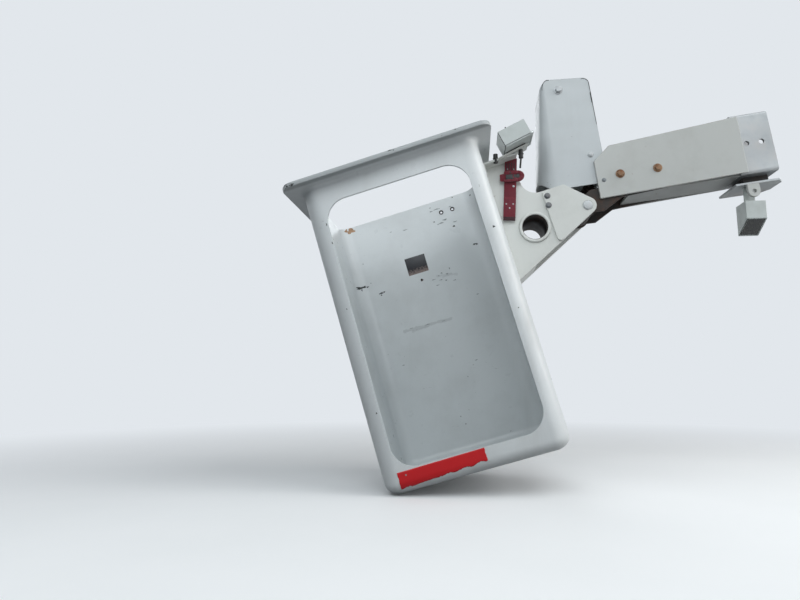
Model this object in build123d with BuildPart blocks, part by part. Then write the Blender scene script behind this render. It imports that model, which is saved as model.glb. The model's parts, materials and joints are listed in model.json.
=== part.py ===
"""Open-sided work platform bucket on its boom tip.

Millimetres. The row's origin is the middle of the boom socket's mouth: +X points out of the socket,
+Y away from the side with the opening, +Z up. The boom tip slopes and the bucket leans, as they stand
when the boom is stowed. Each body is modelled straight in a frame of its own and turned to that pose
when it is written.
"""
from math import acos, atan2, cos, hypot, radians, sin, tan
import os

from build123d import *

# Rest pose, in degrees
boom_slope = 7.0          # the boom rises towards +X
bucket_lean = 16.0        # the bucket's top leans towards -X
horn_angle = 60.0         # of the levelling horn, from the bucket's own horizontal

# Where the pivot lies, seen from the socket's mouth along the boom
pivot_to_mouth = 660.0
pivot_drop = 140.0

# Where the bucket lies, seen from the pivot
bracket_reach = 304.0     # pivot to the back plate's outer face
pivot_height = 752.0      # pivot above the bucket's underside

# Bucket moulding
bucket_height = 1067.0
bottom_width = 605.0
bucket_draft = 0.45       # degrees that each wall leans outwards
wall = 8.0
plan_radius = 58.0        # upright corners
foot_radius = 40.0        # round the underside
rim_reach = 53.0          # lip beyond the wall
rim_radius = 43.0         # its corners
rim_thickness = 18.0
opening_width = 492.0
opening_bottom = 72.0
opening_top = 977.0
opening_radius = 75.0
hanger_holes = [(145.0, 1010.0), (195.0, 1010.0)]   # across and up the far wall
hanger_hole_radius = 5.0

# Mounting pad and bracket on the bucket's +X wall
pad_depth = 14.5          # beyond the wall at its foot
pad_width = 240.0
pad_margin = 20.0         # of the pad above and below the back plate
back_plate_thickness = 10.0
back_plate_margin = 10.0
bracket_top = 1000.0      # above the bucket's underside
bracket_bottom = 567.0
bracket_gap = 180.0       # between the two plates
bracket_thickness = 10.0
boss_radius = 30.0
shoulder = (-56.0, 99.0)  # corners of the plates' outline, from the pivot
elbow = (-190.0, 101.0)
crest_x = -206.0
heel = (-229.0, -147.0)
elbow_radius = 55.0
flange_thickness = 8.0

# Torque tube between the bracket plates
tube_radius = 55.0
tube_bore = 45.0
tube_reach = 198.0        # its axis from the pivot
tube_drop = 19.0
tube_stand = 8.0          # beyond each plate

# Arm plates, bolted outside the bracket plates
arm_thickness = 6.0
arm_gap = 6.0             # to the torque tube
arm_corner = 14.0
arm_bolts = [(14.0, 76.0), (8.0, 42.0)]    # from the plate's back edge, and above the pivot
bolt_radius = 8.0
bolt_head = 5.0

# Pivot
pin_radius = 17.5
pin_head_radius = 15.0
pin_head = 4.0
bush_wall = 6.5
running = 0.05            # radial clearance of a shaft in its bush
side_play = 1.0

# Boom tip
boom_width = 150.0
boom_height = 200.0
sleeve_wall = 10.0
sleeve_length = 125.0
socket_bolt_radius = 9.0
sleeve_corner = 12.0
socket_corner = 6.0
socket_bolts = [0.3, 0.7]      # along the sleeve
seat = 0.3                # gap between pieces that only lie against each other

# Side plates of the boom tip, from the pivot
cheek_thickness = 10.0
cheek_start = 50.0
cheek_foot = 20.0
cheek_brow = 160.0
cheek_crest = (110.0, 210.0)
cheek_lap = 20.0          # over the sleeve
cheek_lift = 4.0          # above the sleeve's underside
cheek_bolts = [(131.0, 99.0), (260.0, 99.0)]
cheek_bolt_radius = 12.0
web_thickness = 8.0
web_start = 160.0

# Lugs that carry the pivot pin, inside the side plates
lug_thickness = 12.0
lug_radius = 34.0
lug_heel = (-27.0, -20.0)
lug_toe = (60.0, -22.0)
lug_rise = (130.0, 18.0)
lug_end = 300.0
lug_low = 30.0
lug_high = 140.0
lug_step = 110.0
lug_throat = (95.0, 66.0)
lug_brow = (20.0, 60.0)
lug_back = (-20.0, 27.0)

# Levelling cylinder
horn_length = 85.0
horn_width = 44.0
horn_gap = 44.0
horn_thickness = 10.0
barrel_pin_x = -210.0
barrel_pin_z = -50.0
barrel_pin_radius = 11.0
barrel_radius = 27.0
barrel_bore = 20.0
barrel_length = 300.0
gland_length = 18.0
gland_wall = 3.0
barrel_head = 8.0         # solid end beyond the eye of the barrel
barrel_boss_inset = 10.0  # of the barrel's cross boss from the lugs
rod_radius = 13.0
piston_at = 130.0
piston_length = 36.0
piston_gap = 0.1
eye_radius = 20.0
eye_width = 34.0
eye_bush = 3.0            # beyond each side of the eye
eye_bush_radius = 10.0

# Tip cover
cover_wall = 5.0
cover_width = 170.0
cover_top = 365.0         # above the socket's axis
cover_bottom = -60.0
cover_chamfer = 45.0      # of the lower left corner
cover_foot_left = 150.0   # from the pivot to the left and right
cover_foot_right = 88.0
cover_head_left = 88.0
cover_head_right = 85.0
cover_head_fall = 20.0    # from left to right
cover_left_radius = 40.0
cover_right_radius = 22.0
cover_side_radius = 45.0  # of the upright edges on the left
rod_gate_width = 90.0
rod_gate_depth = 40.0
rod_gate_rise = 165.0     # above the pivot
stay_radius = 10.0
stays = [(-28.0, 455.0), (45.0, 190.0)]     # from the pivot
stay_head_radius = 9.0
stay_head = 5.0

# Console on the near side of the bracket
console_near = -215.0
console_far = -107.0
console_tilt = 10.0       # degrees
shelf_rise = 2.0          # of its upper face above the bracket plates
shelf_thickness = 8.0
shelf_overhang = 50.0     # beyond the near bracket plate
shelf_right = -185.0
shelf_flange = 40.0       # height of its upright flange
tongue_back = 28.0        # the tilted tongue's left end from the lid's
tongue_length = 113.0
tongue_near = -163.0
tongue_thickness = 5.0
base_thickness = 5.0      # black spacer between tongue and tray
base_inset = 6.0
tray_thickness = 5.0
tray_inset = 3.0          # behind the lid's near face
lid_left = -226.0         # lower corner of the lid on the bucket's side
lid_lift = 12.5           # of that corner above the shelf
lid_length = 100.0
lid_height = 56.0
lid_wall = 4.0
knuckle_radius = 4.5
knuckle_length = 24.0
hinge_offset = 5.0
hinge_pin_radius = 2.5
lever_at = 45.0           # from the lid's corner
lever_width = 7.0
lever_height = 30.0
lever_pitch = 30.0
knob_radius = 7.0
knob_height = 12.0

# Strap with its keeper
strap_middle = -205.0     # of its top
strap_width = 43.0
strap_thickness = 4.0
strap_length = 212.0
strap_clear = 2.0         # off the torque tube's end
strap_swing = 3.0         # degrees off plumb
keeper_at = 58.0          # below the strap's top
keeper_width = 86.0
keeper_height = 37.0
keeper_thickness = 8.0
keeper_turn = 2.0         # degrees off level

# Base plate, lug and lamp below the sleeve
base_rise = 4.0           # above the pivot's height
foot_plate_thickness = 8.0
base_left = -146.0
base_nose = 22.0
base_half_width = 72.0
nose_half_width = 40.0
stand_off_share = 0.7     # of the sleeve's length
stand_off_width = 80.0
eye_lug_x = -90.5
eye_lug_z = -170.6
eye_lug_near = -75.0
eye_lug_thickness = 12.0
eye_lug_radius = 20.0
eye_lug_hole = 7.0
lamp_width = 68.0
lamp_depth = 75.0
lamp_top = 34.0           # below the lug's hole
lamp_near_edge = 98.0
lamp_far_edge = 143.0
lamp_rim = 5.0
lamp_recess = 6.0
glass_thickness = 4.0
tang_width = 36.0
tang_thickness = 8.0
tang_at = 40.0            # behind the lug's near face

tip_turn = radians(boom_slope)
pivot_x = -pivot_to_mouth
pivot_z = -pivot_drop
tip_frame = Plane(
    origin=(0, 0, 0),
    x_dir=(cos(tip_turn), 0, sin(tip_turn)),
    z_dir=(-sin(tip_turn), 0, cos(tip_turn)),
)


def in_tip(x, z):
    """Row coordinates of a point that is given in the boom tip's own frame."""
    return (x * cos(tip_turn) - z * sin(tip_turn), 0, x * sin(tip_turn) + z * cos(tip_turn))


lean = radians(bucket_lean)
pivot_point = in_tip(pivot_x, pivot_z)
bucket_frame = Plane(
    origin=pivot_point,
    x_dir=(cos(lean), 0, sin(lean)),
    z_dir=(-sin(lean), 0, cos(lean)),
)

horn_turn = radians(horn_angle + bucket_lean - boom_slope)
eye_x = pivot_x + horn_length * cos(horn_turn)
eye_z = pivot_z + horn_length * sin(horn_turn)
barrel_turn = atan2(eye_z - barrel_pin_z, eye_x - barrel_pin_x) + tip_turn
barrel_to_eye = hypot(eye_x - barrel_pin_x, eye_z - barrel_pin_z)
cylinder_frame = Plane(
    origin=in_tip(barrel_pin_x, barrel_pin_z),
    x_dir=(cos(barrel_turn), 0, sin(barrel_turn)),
    z_dir=(-sin(barrel_turn), 0, cos(barrel_turn)),
)

os.makedirs("parts", exist_ok=True)


def finish(piece, label, frame):
    """Labels a finished piece, turns it to its body's rest pose and writes it."""
    piece.part.label = label
    placed = piece.part.moved(frame.location)
    placed.label = label
    export_step(placed, f"parts/{label}.step")


def across(y):
    """The plane that cuts a body at y, with its X to the right and its Y up."""
    return Plane(origin=(0, y, 0), x_dir=(1, 0, 0), z_dir=(0, -1, 0))


def touch(x, z, radius, side):
    """Where the tangent from (x, z) meets a circle round the origin."""
    angle = atan2(z, x) + side * acos(radius / hypot(x, z))
    return (radius * cos(angle), radius * sin(angle))


# Bucket moulding, upright about the pivot
back_x = -bracket_reach
pad_x = back_x - back_plate_thickness
bucket_x = pad_x - pad_depth - bottom_width / 2
floor_z = -pivot_height
rim_z = floor_z + bucket_height
spread = bucket_height * tan(radians(bucket_draft))
top_width = bottom_width + 2 * spread
half_gap = bracket_gap / 2
plate_outer = half_gap + bracket_thickness
arm_outer = plate_outer + arm_thickness
plate_top = floor_z + bracket_top
plate_bottom = floor_z + bracket_bottom
opening_z = floor_z + (opening_bottom + opening_top) / 2
opening_height = opening_top - opening_bottom


def bucket_form(inset, start):
    """The bucket's outer form, or the hollow that lies a wall's thickness inside it."""
    height = rim_z - start
    width = bottom_width - 2 * inset + 2 * height * tan(radians(bucket_draft))
    with BuildPart() as form:
        with BuildSketch(across(0)):
            with Locations((bucket_x, start)):
                Trapezoid(width, height, 90 + bucket_draft, align=(Align.CENTER, Align.MIN))
        extrude(amount=bottom_width, both=True)
        with BuildSketch(Plane.YZ.offset(bucket_x)):
            with Locations((0, start)):
                Trapezoid(width, height, 90 + bucket_draft, align=(Align.CENTER, Align.MIN))
        extrude(amount=bottom_width, both=True, mode=Mode.INTERSECT)
        fillet(form.edges().group_by(Axis.Z)[1], plan_radius - inset)
        fillet(form.faces().sort_by(Axis.Z)[0].edges(), foot_radius - inset)
    return form.part


outer_form = bucket_form(0, floor_z)
room_form = bucket_form(wall, floor_z + wall)
rim_width = top_width + 2 * rim_reach
with BuildPart() as bucket_shell:
    add(outer_form)
    # flat mounting pad for the bracket
    with Locations((pad_x - pad_depth / 2, 0, (plate_top + plate_bottom) / 2)):
        Box(pad_depth, pad_width, plate_top - plate_bottom + pad_margin)
    # rim, cored and closed
    with BuildSketch(Plane.XY.offset(rim_z)):
        with Locations((bucket_x, 0)):
            RectangleRounded(rim_width, rim_width, rim_radius)
    extrude(amount=-rim_thickness)
    add(room_form, mode=Mode.SUBTRACT)
    # opening in the near wall
    with BuildSketch(across(-bottom_width / 2 - spread)):
        with Locations((bucket_x, opening_z)):
            RectangleRounded(opening_width, opening_height, opening_radius)
    extrude(amount=-4 * foot_radius, mode=Mode.SUBTRACT)
    # accessory holes in the far wall
    for x, z in hanger_holes:
        with Locations(across(top_width / 2 - foot_radius)):
            with Locations((bucket_x + x, floor_z + z)):
                Cylinder(
                    hanger_hole_radius, 2 * foot_radius,
                    align=(Align.CENTER, Align.CENTER, Align.MAX), mode=Mode.SUBTRACT,
                )
finish(bucket_shell, "bucket_shell", bucket_frame)

with BuildPart() as back_plate:
    with Locations(((pad_x + back_x) / 2, 0, (plate_top + plate_bottom) / 2)):
        Box(back_plate_thickness, 2 * (plate_outer + back_plate_margin), plate_top - plate_bottom)
finish(back_plate, "back_plate", bucket_frame)

# Bracket plates: the outline runs from the bucket's wall to the boss at the pivot
crest = (crest_x, plate_top)
upper_touch = touch(*shoulder, boss_radius, -1)
lower_touch = touch(*heel, boss_radius, 1)


def bracket_outline():
    with BuildSketch() as outline:
        Polygon(
            (back_x, plate_top), crest, elbow, shoulder, upper_touch, lower_touch, heel,
            (back_x, plate_bottom), align=None,
        )
        Circle(boss_radius)
        fillet(outline.vertices().sort_by_distance((*elbow, 0))[0], elbow_radius)
    return outline.sketch


def on_edge(x, start, end):
    """Height at x of the straight edge from start to end."""
    return start[1] + (x - start[0]) * (end[1] - start[1]) / (end[0] - start[0])


arm_back = -tube_reach + tube_radius + arm_gap
arm_low = on_edge(arm_back, heel, lower_touch)
arm_bolts_at = [(arm_back + right, up) for right, up in arm_bolts]

for side, name in ((-1, "near"), (1, "far")):
    with BuildPart() as bracket_plate:
        with BuildSketch(across(side * half_gap)):
            add(bracket_outline())
            Circle(pin_radius, mode=Mode.SUBTRACT)
            with Locations((-tube_reach, -tube_drop)):
                Circle(tube_radius, mode=Mode.SUBTRACT)
        extrude(amount=-side * bracket_thickness)
    finish(bracket_plate, f"bracket_plate_{name}", bucket_frame)

    with BuildPart() as arm_plate:
        with BuildSketch(across(side * plate_outer)) as arm_sketch:
            Polygon(
                (arm_back, shoulder[1]), shoulder, upper_touch, lower_touch, (arm_back, arm_low), align=None,
            )
            Circle(boss_radius)
            fillet(arm_sketch.vertices().group_by(Axis.X)[0], arm_corner)
            Circle(pin_radius, mode=Mode.SUBTRACT)
        extrude(amount=-side * arm_thickness)
        with BuildSketch(across(side * arm_outer)):
            with Locations(*arm_bolts_at):
                RegularPolygon(bolt_radius, 6)
        extrude(amount=-side * bolt_head)
    finish(arm_plate, f"arm_plate_{name}", bucket_frame)

with BuildPart() as torque_tube:
    with BuildSketch(across(-plate_outer - tube_stand)):
        with Locations((-tube_reach, -tube_drop)):
            Circle(tube_radius)
            Circle(tube_bore, mode=Mode.SUBTRACT)
    extrude(amount=-2 * (plate_outer + tube_stand))
finish(torque_tube, "torque_tube", bucket_frame)

with BuildPart() as lower_flange:
    with BuildSketch(across(-half_gap)) as flange_sketch:
        rise = (heel[1] - plate_bottom) / (heel[0] - back_x)
        thick = flange_thickness * hypot(1, rise)
        Polygon(
            (back_x, plate_bottom), heel, (heel[0], heel[1] + thick), (back_x, plate_bottom + thick),
            align=None,
        )
    extrude(amount=-bracket_gap)
finish(lower_flange, "lower_flange", bucket_frame)

with BuildPart() as pivot_pin:
    with BuildSketch(across(-arm_outer)):
        Circle(pin_radius)
    extrude(amount=-2 * arm_outer)
    with BuildSketch(across(-arm_outer - pin_head)):
        Circle(pin_head_radius)
    extrude(amount=-2 * (arm_outer + pin_head))
finish(pivot_pin, "pivot_pin", bucket_frame)

# Levelling horn, keyed on the pin between the lugs
cheek_inner = boom_width / 2 + sleeve_wall
lug_inner = cheek_inner - lug_thickness
horn_x = horn_length * cos(radians(horn_angle))
horn_z = horn_length * sin(radians(horn_angle))
horn_outer = horn_gap / 2 + horn_thickness

with BuildPart() as level_horn:
    for side in (-1, 1):
        with BuildSketch(across(side * horn_gap / 2)):
            SlotCenterPoint((horn_x / 2, horn_z / 2), (horn_x, horn_z), horn_width)
            Circle(boss_radius)
        extrude(amount=-side * horn_thickness)
        with BuildSketch(across(side * horn_outer)):
            with Locations((horn_x, horn_z)):
                Circle(barrel_pin_radius)
        extrude(amount=-side * pin_head)
    with BuildSketch(across(-lug_inner + side_play)):
        Circle(boss_radius)
    extrude(amount=-2 * (lug_inner - side_play))
    with BuildSketch(across(-lug_inner)):
        Circle(pin_radius)
    extrude(amount=-2 * lug_inner, mode=Mode.SUBTRACT)
finish(level_horn, "level_horn", bucket_frame)

# Console on the near side of the bracket
shelf_top = plate_top + shelf_rise
shelf_low = shelf_top - shelf_thickness
shelf_near = -plate_outer - shelf_overhang
console_mid = (console_near + console_far) / 2
console_depth = console_far - console_near
console_turn = radians(console_tilt)
lid_corner = (lid_left, shelf_top + lid_lift)
tray_low = -seat - tray_thickness
tongue_top = tray_low - base_thickness


def along_lid(right, up):
    """A point of the tilted lid, from its lower corner."""
    return (
        lid_corner[0] + right * cos(console_turn) - up * sin(console_turn),
        lid_corner[1] + right * sin(console_turn) + up * cos(console_turn),
    )


def lid_block(left, right, low, high):
    """Outline of a block that is tilted as the lid is."""
    return Polygon(
        along_lid(left, low), along_lid(right, low), along_lid(right, high), along_lid(left, high),
        align=None,
    )


with BuildPart() as console_shelf:
    with BuildSketch(across(shelf_near)):
        Polygon(
            (back_x, shelf_low), (shelf_right, shelf_low), (shelf_right, shelf_top), (back_x, shelf_top),
            align=None,
        )
    extrude(amount=-shelf_overhang)
    with BuildSketch(across(tongue_near)):
        lid_block(-tongue_back, tongue_length - tongue_back, tongue_top - tongue_thickness, tongue_top)
    extrude(amount=tongue_near - console_far)
    # upright flange against the bucket's wall
    with Locations((pad_x, -plate_outer - back_plate_margin, shelf_top)):
        Box(
            back_plate_thickness, shelf_overhang - back_plate_margin, shelf_flange + shelf_thickness,
            align=(Align.MIN, Align.MAX, Align.MAX),
        )
finish(console_shelf, "console_shelf", bucket_frame)

with BuildPart() as console_base:
    with BuildSketch(across(tongue_near + base_inset)):
        lid_block(base_inset, tongue_length - tongue_back - base_inset, tongue_top, tray_low)
    extrude(amount=tongue_near - console_far + 2 * base_inset)
finish(console_base, "console_base", bucket_frame)

# The lid turns on a pin in two knuckles of the body, with one of its own between them
hinge = along_lid(lid_length + hinge_offset, 0)
with BuildPart() as console_body:
    with BuildSketch(across(console_near + tray_inset)):
        lid_block(tray_inset, lid_length, tray_low, -seat)
    extrude(amount=tray_inset - console_depth)
    for start in (console_near, console_far - knuckle_length):
        with BuildSketch(across(start)):
            with Locations(hinge):
                Circle(knuckle_radius)
            lid_block(lid_length - lid_wall, lid_length + hinge_offset, -knuckle_radius, -seat)
        extrude(amount=-knuckle_length)
    with BuildSketch(across(console_near)):
        with Locations(hinge):
            Circle(hinge_pin_radius)
    extrude(amount=-console_depth, mode=Mode.SUBTRACT)
finish(console_body, "console_body", bucket_frame)

with BuildPart() as lid_pin:
    with BuildSketch(across(console_near)):
        with Locations(hinge):
            Circle(hinge_pin_radius)
    extrude(amount=-console_depth)
finish(lid_pin, "lid_pin", bucket_frame)

with BuildPart() as console_lid:
    with BuildSketch(across(console_near)):
        lid_block(0, lid_length, 0, lid_height)
    extrude(amount=-console_depth)
    with BuildSketch(across(console_near + lid_wall)):
        lid_block(lid_wall, lid_length - lid_wall, -seat, lid_height - lid_wall)
    extrude(amount=-(console_depth - 2 * lid_wall), mode=Mode.SUBTRACT)
    with BuildSketch(across(console_near + knuckle_length + side_play)):
        with Locations(hinge):
            Circle(knuckle_radius)
        lid_block(lid_length - lid_wall, lid_length + hinge_offset, 0, knuckle_radius)
        with Locations(hinge):
            Circle(hinge_pin_radius + running, mode=Mode.SUBTRACT)
    extrude(amount=-(console_depth - 2 * knuckle_length - 2 * side_play))
finish(console_lid, "console_lid", bucket_frame)

with BuildPart() as control_levers:
    foot = along_lid(lever_at, -seat)
    for step in (-1, 0, 1):
        lever_place = Location((foot[0], console_mid + step * lever_pitch, foot[1]), (0, -console_tilt, 0))
        with Locations(lever_place):
            Box(lever_width, lever_width, lever_height, align=(Align.CENTER, Align.CENTER, Align.MIN))
            with Locations((0, 0, lever_height)):
                Cylinder(knob_radius, knob_height, align=(Align.CENTER, Align.CENTER, Align.MAX))
finish(control_levers, "control_levers", bucket_frame)

# Strap that hangs from the shelf, clear of the torque tube, with a keeper round it
strap_top = shelf_low - seat
strap_turn = radians(bucket_lean + strap_swing)
strap_side = strap_width / 2 / cos(strap_turn)
strap_out = plate_outer + tube_stand + strap_clear


def down_strap(length, left=0.0):
    """A point of the strap, down from the middle of its top and off to the left."""
    return (
        strap_middle - length * sin(strap_turn) - left * cos(strap_turn),
        strap_top - length * cos(strap_turn) + left * sin(strap_turn),
    )


with BuildPart() as strap:
    with BuildSketch(across(-strap_out)):
        Polygon(
            (strap_middle - strap_side, strap_top), (strap_middle + strap_side, strap_top),
            down_strap(strap_length, -strap_width / 2), down_strap(strap_length, strap_width / 2),
            align=None,
        )
    extrude(amount=strap_thickness)
finish(strap, "strap", bucket_frame)

with BuildPart() as strap_keeper:
    with BuildSketch(across(-strap_out - strap_thickness - seat)):
        with Locations(down_strap(keeper_at)):
            SlotOverall(keeper_width, keeper_height, rotation=keeper_turn - bucket_lean)
    extrude(amount=keeper_thickness)
finish(strap_keeper, "strap_keeper", bucket_frame)

# Boom tip, in the boom's own frame
socket_half = boom_height / 2
sleeve_low = -socket_half - sleeve_wall
with BuildPart() as boom_sleeve:
    with BuildSketch(Plane.YZ):
        RectangleRounded(boom_width + 2 * sleeve_wall, boom_height + 2 * sleeve_wall, sleeve_corner)
        RectangleRounded(boom_width, boom_height, socket_corner, mode=Mode.SUBTRACT)
    extrude(amount=-sleeve_length)
    with BuildSketch(across(0)):
        with Locations(*[(-sleeve_length * share, 0) for share in socket_bolts]):
            Circle(socket_bolt_radius)
    extrude(amount=boom_width, both=True, mode=Mode.SUBTRACT)
finish(boom_sleeve, "boom_sleeve", tip_frame)


def from_pivot(right, up):
    """A point of the boom tip, given from the pivot."""
    return (pivot_x + right, pivot_z + up)


cheek_right = -sleeve_length + cheek_lap
crest_of_cheek = from_pivot(*cheek_crest)
for side, name in ((-1, "near"), (1, "far")):
    with BuildPart() as cheek:
        with BuildSketch(across(side * cheek_inner)):
            Polygon(
                from_pivot(cheek_start, cheek_foot), from_pivot(cheek_start, cheek_brow), crest_of_cheek,
                (cheek_right, socket_half), (cheek_right, sleeve_low + cheek_lift), align=None,
            )
        extrude(amount=-side * cheek_thickness)
        with BuildSketch(across(side * (cheek_inner + cheek_thickness))):
            with Locations(*[from_pivot(*place) for place in cheek_bolts]):
                RegularPolygon(cheek_bolt_radius, 6)
        extrude(amount=-side * bolt_head)
    finish(cheek, f"cheek_{name}", tip_frame)

    with BuildPart() as pivot_lug:
        with BuildSketch(across(side * lug_inner)):
            with Locations((pivot_x, pivot_z)):
                Circle(lug_radius)
                Polygon(
                    lug_heel, lug_toe, lug_rise, (lug_end, lug_low), (lug_end, lug_high),
                    (lug_step, lug_high), lug_throat, lug_brow, lug_back, align=None,
                )
                Circle(pin_radius + running + bush_wall, mode=Mode.SUBTRACT)
        extrude(amount=-side * lug_thickness)
    finish(pivot_lug, f"pivot_lug_{name}", tip_frame)

    with BuildPart() as bush:
        with BuildSketch(across(side * lug_inner)):
            with Locations((pivot_x, pivot_z)):
                Circle(pin_radius + running + bush_wall)
                Circle(pin_radius + running, mode=Mode.SUBTRACT)
        extrude(amount=-side * lug_thickness)
    finish(bush, f"bush_{name}", tip_frame)

with BuildPart() as tip_top_plate:
    top_right = -sleeve_length - seat
    top_right_z = on_edge(top_right, crest_of_cheek, (cheek_right, socket_half))
    with BuildSketch(across(-cheek_inner)):
        Polygon(
            crest_of_cheek, (top_right, top_right_z), (top_right, top_right_z - web_thickness),
            (crest_of_cheek[0], crest_of_cheek[1] - web_thickness), align=None,
        )
    extrude(amount=-2 * cheek_inner)
finish(tip_top_plate, "tip_top_plate", tip_frame)

with BuildPart() as tip_bottom_plate:
    web_left = pivot_x + web_start
    with Locations(((web_left - sleeve_length) / 2, 0, sleeve_low + web_thickness / 2)):
        Box(-sleeve_length - web_left, 2 * lug_inner, web_thickness)
finish(tip_bottom_plate, "tip_bottom_plate", tip_frame)

with BuildPart() as barrel_pin:
    with BuildSketch(across(-cheek_inner)):
        with Locations((barrel_pin_x, barrel_pin_z)):
            Circle(barrel_pin_radius)
    extrude(amount=-2 * cheek_inner)
finish(barrel_pin, "barrel_pin", tip_frame)

# Tall cover over the pivot
cover_low_left = (pivot_x - cover_foot_left, cover_bottom + cover_chamfer)
cover_low_mid = (pivot_x - cover_foot_left + cover_chamfer, cover_bottom)
cover_low_right = (pivot_x + cover_foot_right, cover_bottom)
cover_high_right = (pivot_x + cover_head_right, cover_top - cover_head_fall)
cover_high_left = (pivot_x - cover_head_left, cover_top)


def at_height(z, low, high):
    """Reach at height z of the straight line from low to high."""
    return low[0] + (z - low[1]) * (high[0] - low[0]) / (high[1] - low[1])


def cover_outline(inset, low):
    """Outline of the cover's form, with its foot at low."""
    return Polygon(
        (at_height(low, cover_low_left, cover_high_left) + inset, low),
        (at_height(low, cover_low_right, cover_high_right) - inset, low),
        (cover_high_right[0] - inset, cover_high_right[1] - inset),
        (cover_high_left[0] + inset, cover_high_left[1] - inset), align=None,
    )


def cover_form(inset, low):
    """The cover's outer form, or the hollow that lies a wall's thickness inside it."""
    with BuildPart() as form:
        with BuildSketch(across(0)):
            cover_outline(inset, low)
        extrude(amount=cover_width / 2 - inset, both=True)
        fillet(form.edges().filter_by(Axis.Y, reverse=True).group_by(Axis.X)[0], cover_side_radius - inset)
        with BuildSketch(across(0)) as profile:
            cover_outline(inset, low)
            fillet(profile.vertices().sort_by_distance((*cover_high_left, 0))[0], cover_left_radius - inset)
            fillet(profile.vertices().sort_by_distance((*cover_high_right, 0))[0], cover_right_radius - inset)
        extrude(amount=cover_width, both=True, mode=Mode.INTERSECT)
    return form.part


cover_outer = cover_form(0, cover_bottom)
cover_hollow = cover_form(cover_wall, cover_bottom - cover_wall)
with BuildPart() as tip_cover:
    add(cover_outer)
    add(cover_hollow, mode=Mode.SUBTRACT)
    # lower left corner, cut clear of the torque tube
    with BuildSketch(across(-cover_width)):
        Polygon(
            cover_low_left, cover_low_mid, (cover_low_mid[0], cover_bottom - cover_chamfer),
            (cover_low_left[0] - cover_chamfer, cover_bottom - cover_chamfer),
            (cover_low_left[0] - cover_chamfer, cover_low_left[1]), align=None,
        )
    extrude(amount=-2 * cover_width, mode=Mode.SUBTRACT)
    # gate for the levelling rod
    with Locations((cover_high_right[0], 0, cover_bottom - cover_wall)):
        Box(
            rod_gate_depth, rod_gate_width, pivot_z + rod_gate_rise - cover_bottom + cover_wall,
            align=(Align.CENTER, Align.CENTER, Align.MIN), mode=Mode.SUBTRACT,
        )
    # bolt heads outside both faces
    for side in (-1, 1):
        with BuildSketch(across(side * cover_width / 2)):
            with Locations(*[from_pivot(*place) for place in stays]):
                RegularPolygon(stay_head_radius, 6)
        extrude(amount=-side * stay_head)
finish(tip_cover, "tip_cover", tip_frame)

with BuildPart() as cover_stay:
    with BuildSketch(across(-cover_width / 2 + cover_wall)):
        with Locations(*[from_pivot(*place) for place in stays]):
            Circle(stay_radius)
    extrude(amount=-(cover_width - 2 * cover_wall))
finish(cover_stay, "cover_stay", tip_frame)

# Plate, block, lug and lamp below the sleeve
base_top = pivot_z + base_rise
base_low = base_top - foot_plate_thickness
with BuildPart() as stand_off:
    with Locations((-sleeve_length / 2, 0, (sleeve_low + base_top) / 2)):
        Box(sleeve_length * stand_off_share, stand_off_width, sleeve_low - base_top)
finish(stand_off, "stand_off", tip_frame)

with BuildPart() as base_plate:
    with BuildSketch(Plane.XY.offset(base_low)):
        Polygon(
            (base_left, -base_half_width), (0, -base_half_width), (base_nose, -nose_half_width),
            (base_nose, nose_half_width), (0, base_half_width), (base_left, base_half_width), align=None,
        )
    extrude(amount=foot_plate_thickness)
finish(base_plate, "base_plate", tip_frame)

with BuildPart() as eye_lug:
    with BuildSketch(across(eye_lug_near)):
        with Locations((eye_lug_x, eye_lug_z)):
            Circle(eye_lug_radius)
        with Locations((eye_lug_x, (eye_lug_z + base_low) / 2)):
            Rectangle(2 * eye_lug_radius, base_low - eye_lug_z)
        with Locations((eye_lug_x, eye_lug_z)):
            Circle(eye_lug_hole, mode=Mode.SUBTRACT)
    extrude(amount=-eye_lug_thickness)
finish(eye_lug, "eye_lug", tip_frame)

# The lamp hangs plumb, so its frame isn't turned
eye_point = in_tip(eye_lug_x, eye_lug_z)
lamp_place = Plane(origin=(eye_point[0], eye_lug_near, eye_point[2]))
lamp_slope = lamp_far_edge - lamp_near_edge
lamp_under = hypot(lamp_depth, lamp_slope)
glass_frame = Plane(
    origin=(0, lamp_depth / 2, -(lamp_near_edge + lamp_far_edge) / 2),
    x_dir=(1, 0, 0),
    z_dir=(0, -lamp_slope, -lamp_depth),
)


def under_base(x):
    """Height of the base plate's underside at x in the lamp's frame."""
    return (base_low - eye_lug_z) / cos(tip_turn) + x * tan(tip_turn)


with BuildPart() as lamp_housing:
    with BuildSketch(Plane.YZ.offset(-lamp_width / 2)):
        Polygon(
            (0, -lamp_top), (lamp_depth, -lamp_top), (lamp_depth, -lamp_far_edge), (0, -lamp_near_edge),
            align=None,
        )
    extrude(amount=lamp_width)
    with BuildSketch(glass_frame):
        Rectangle(lamp_width - 2 * lamp_rim, lamp_under - 2 * lamp_rim)
    extrude(amount=-lamp_recess, mode=Mode.SUBTRACT)
    # tang up to the base plate, behind the lug
    with BuildSketch(across(tang_at)):
        Polygon(
            (-tang_width / 2, -lamp_top), (tang_width / 2, -lamp_top),
            (tang_width / 2, under_base(tang_width / 2)), (-tang_width / 2, under_base(-tang_width / 2)),
            align=None,
        )
    extrude(amount=-tang_thickness)
finish(lamp_housing, "lamp_housing", lamp_place)

with BuildPart() as lamp_glass:
    with BuildSketch(glass_frame.offset(-lamp_recess)):
        Rectangle(lamp_width - 2 * lamp_rim, lamp_under - 2 * lamp_rim)
    extrude(amount=glass_thickness)
finish(lamp_glass, "lamp_glass", lamp_place)

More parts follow.
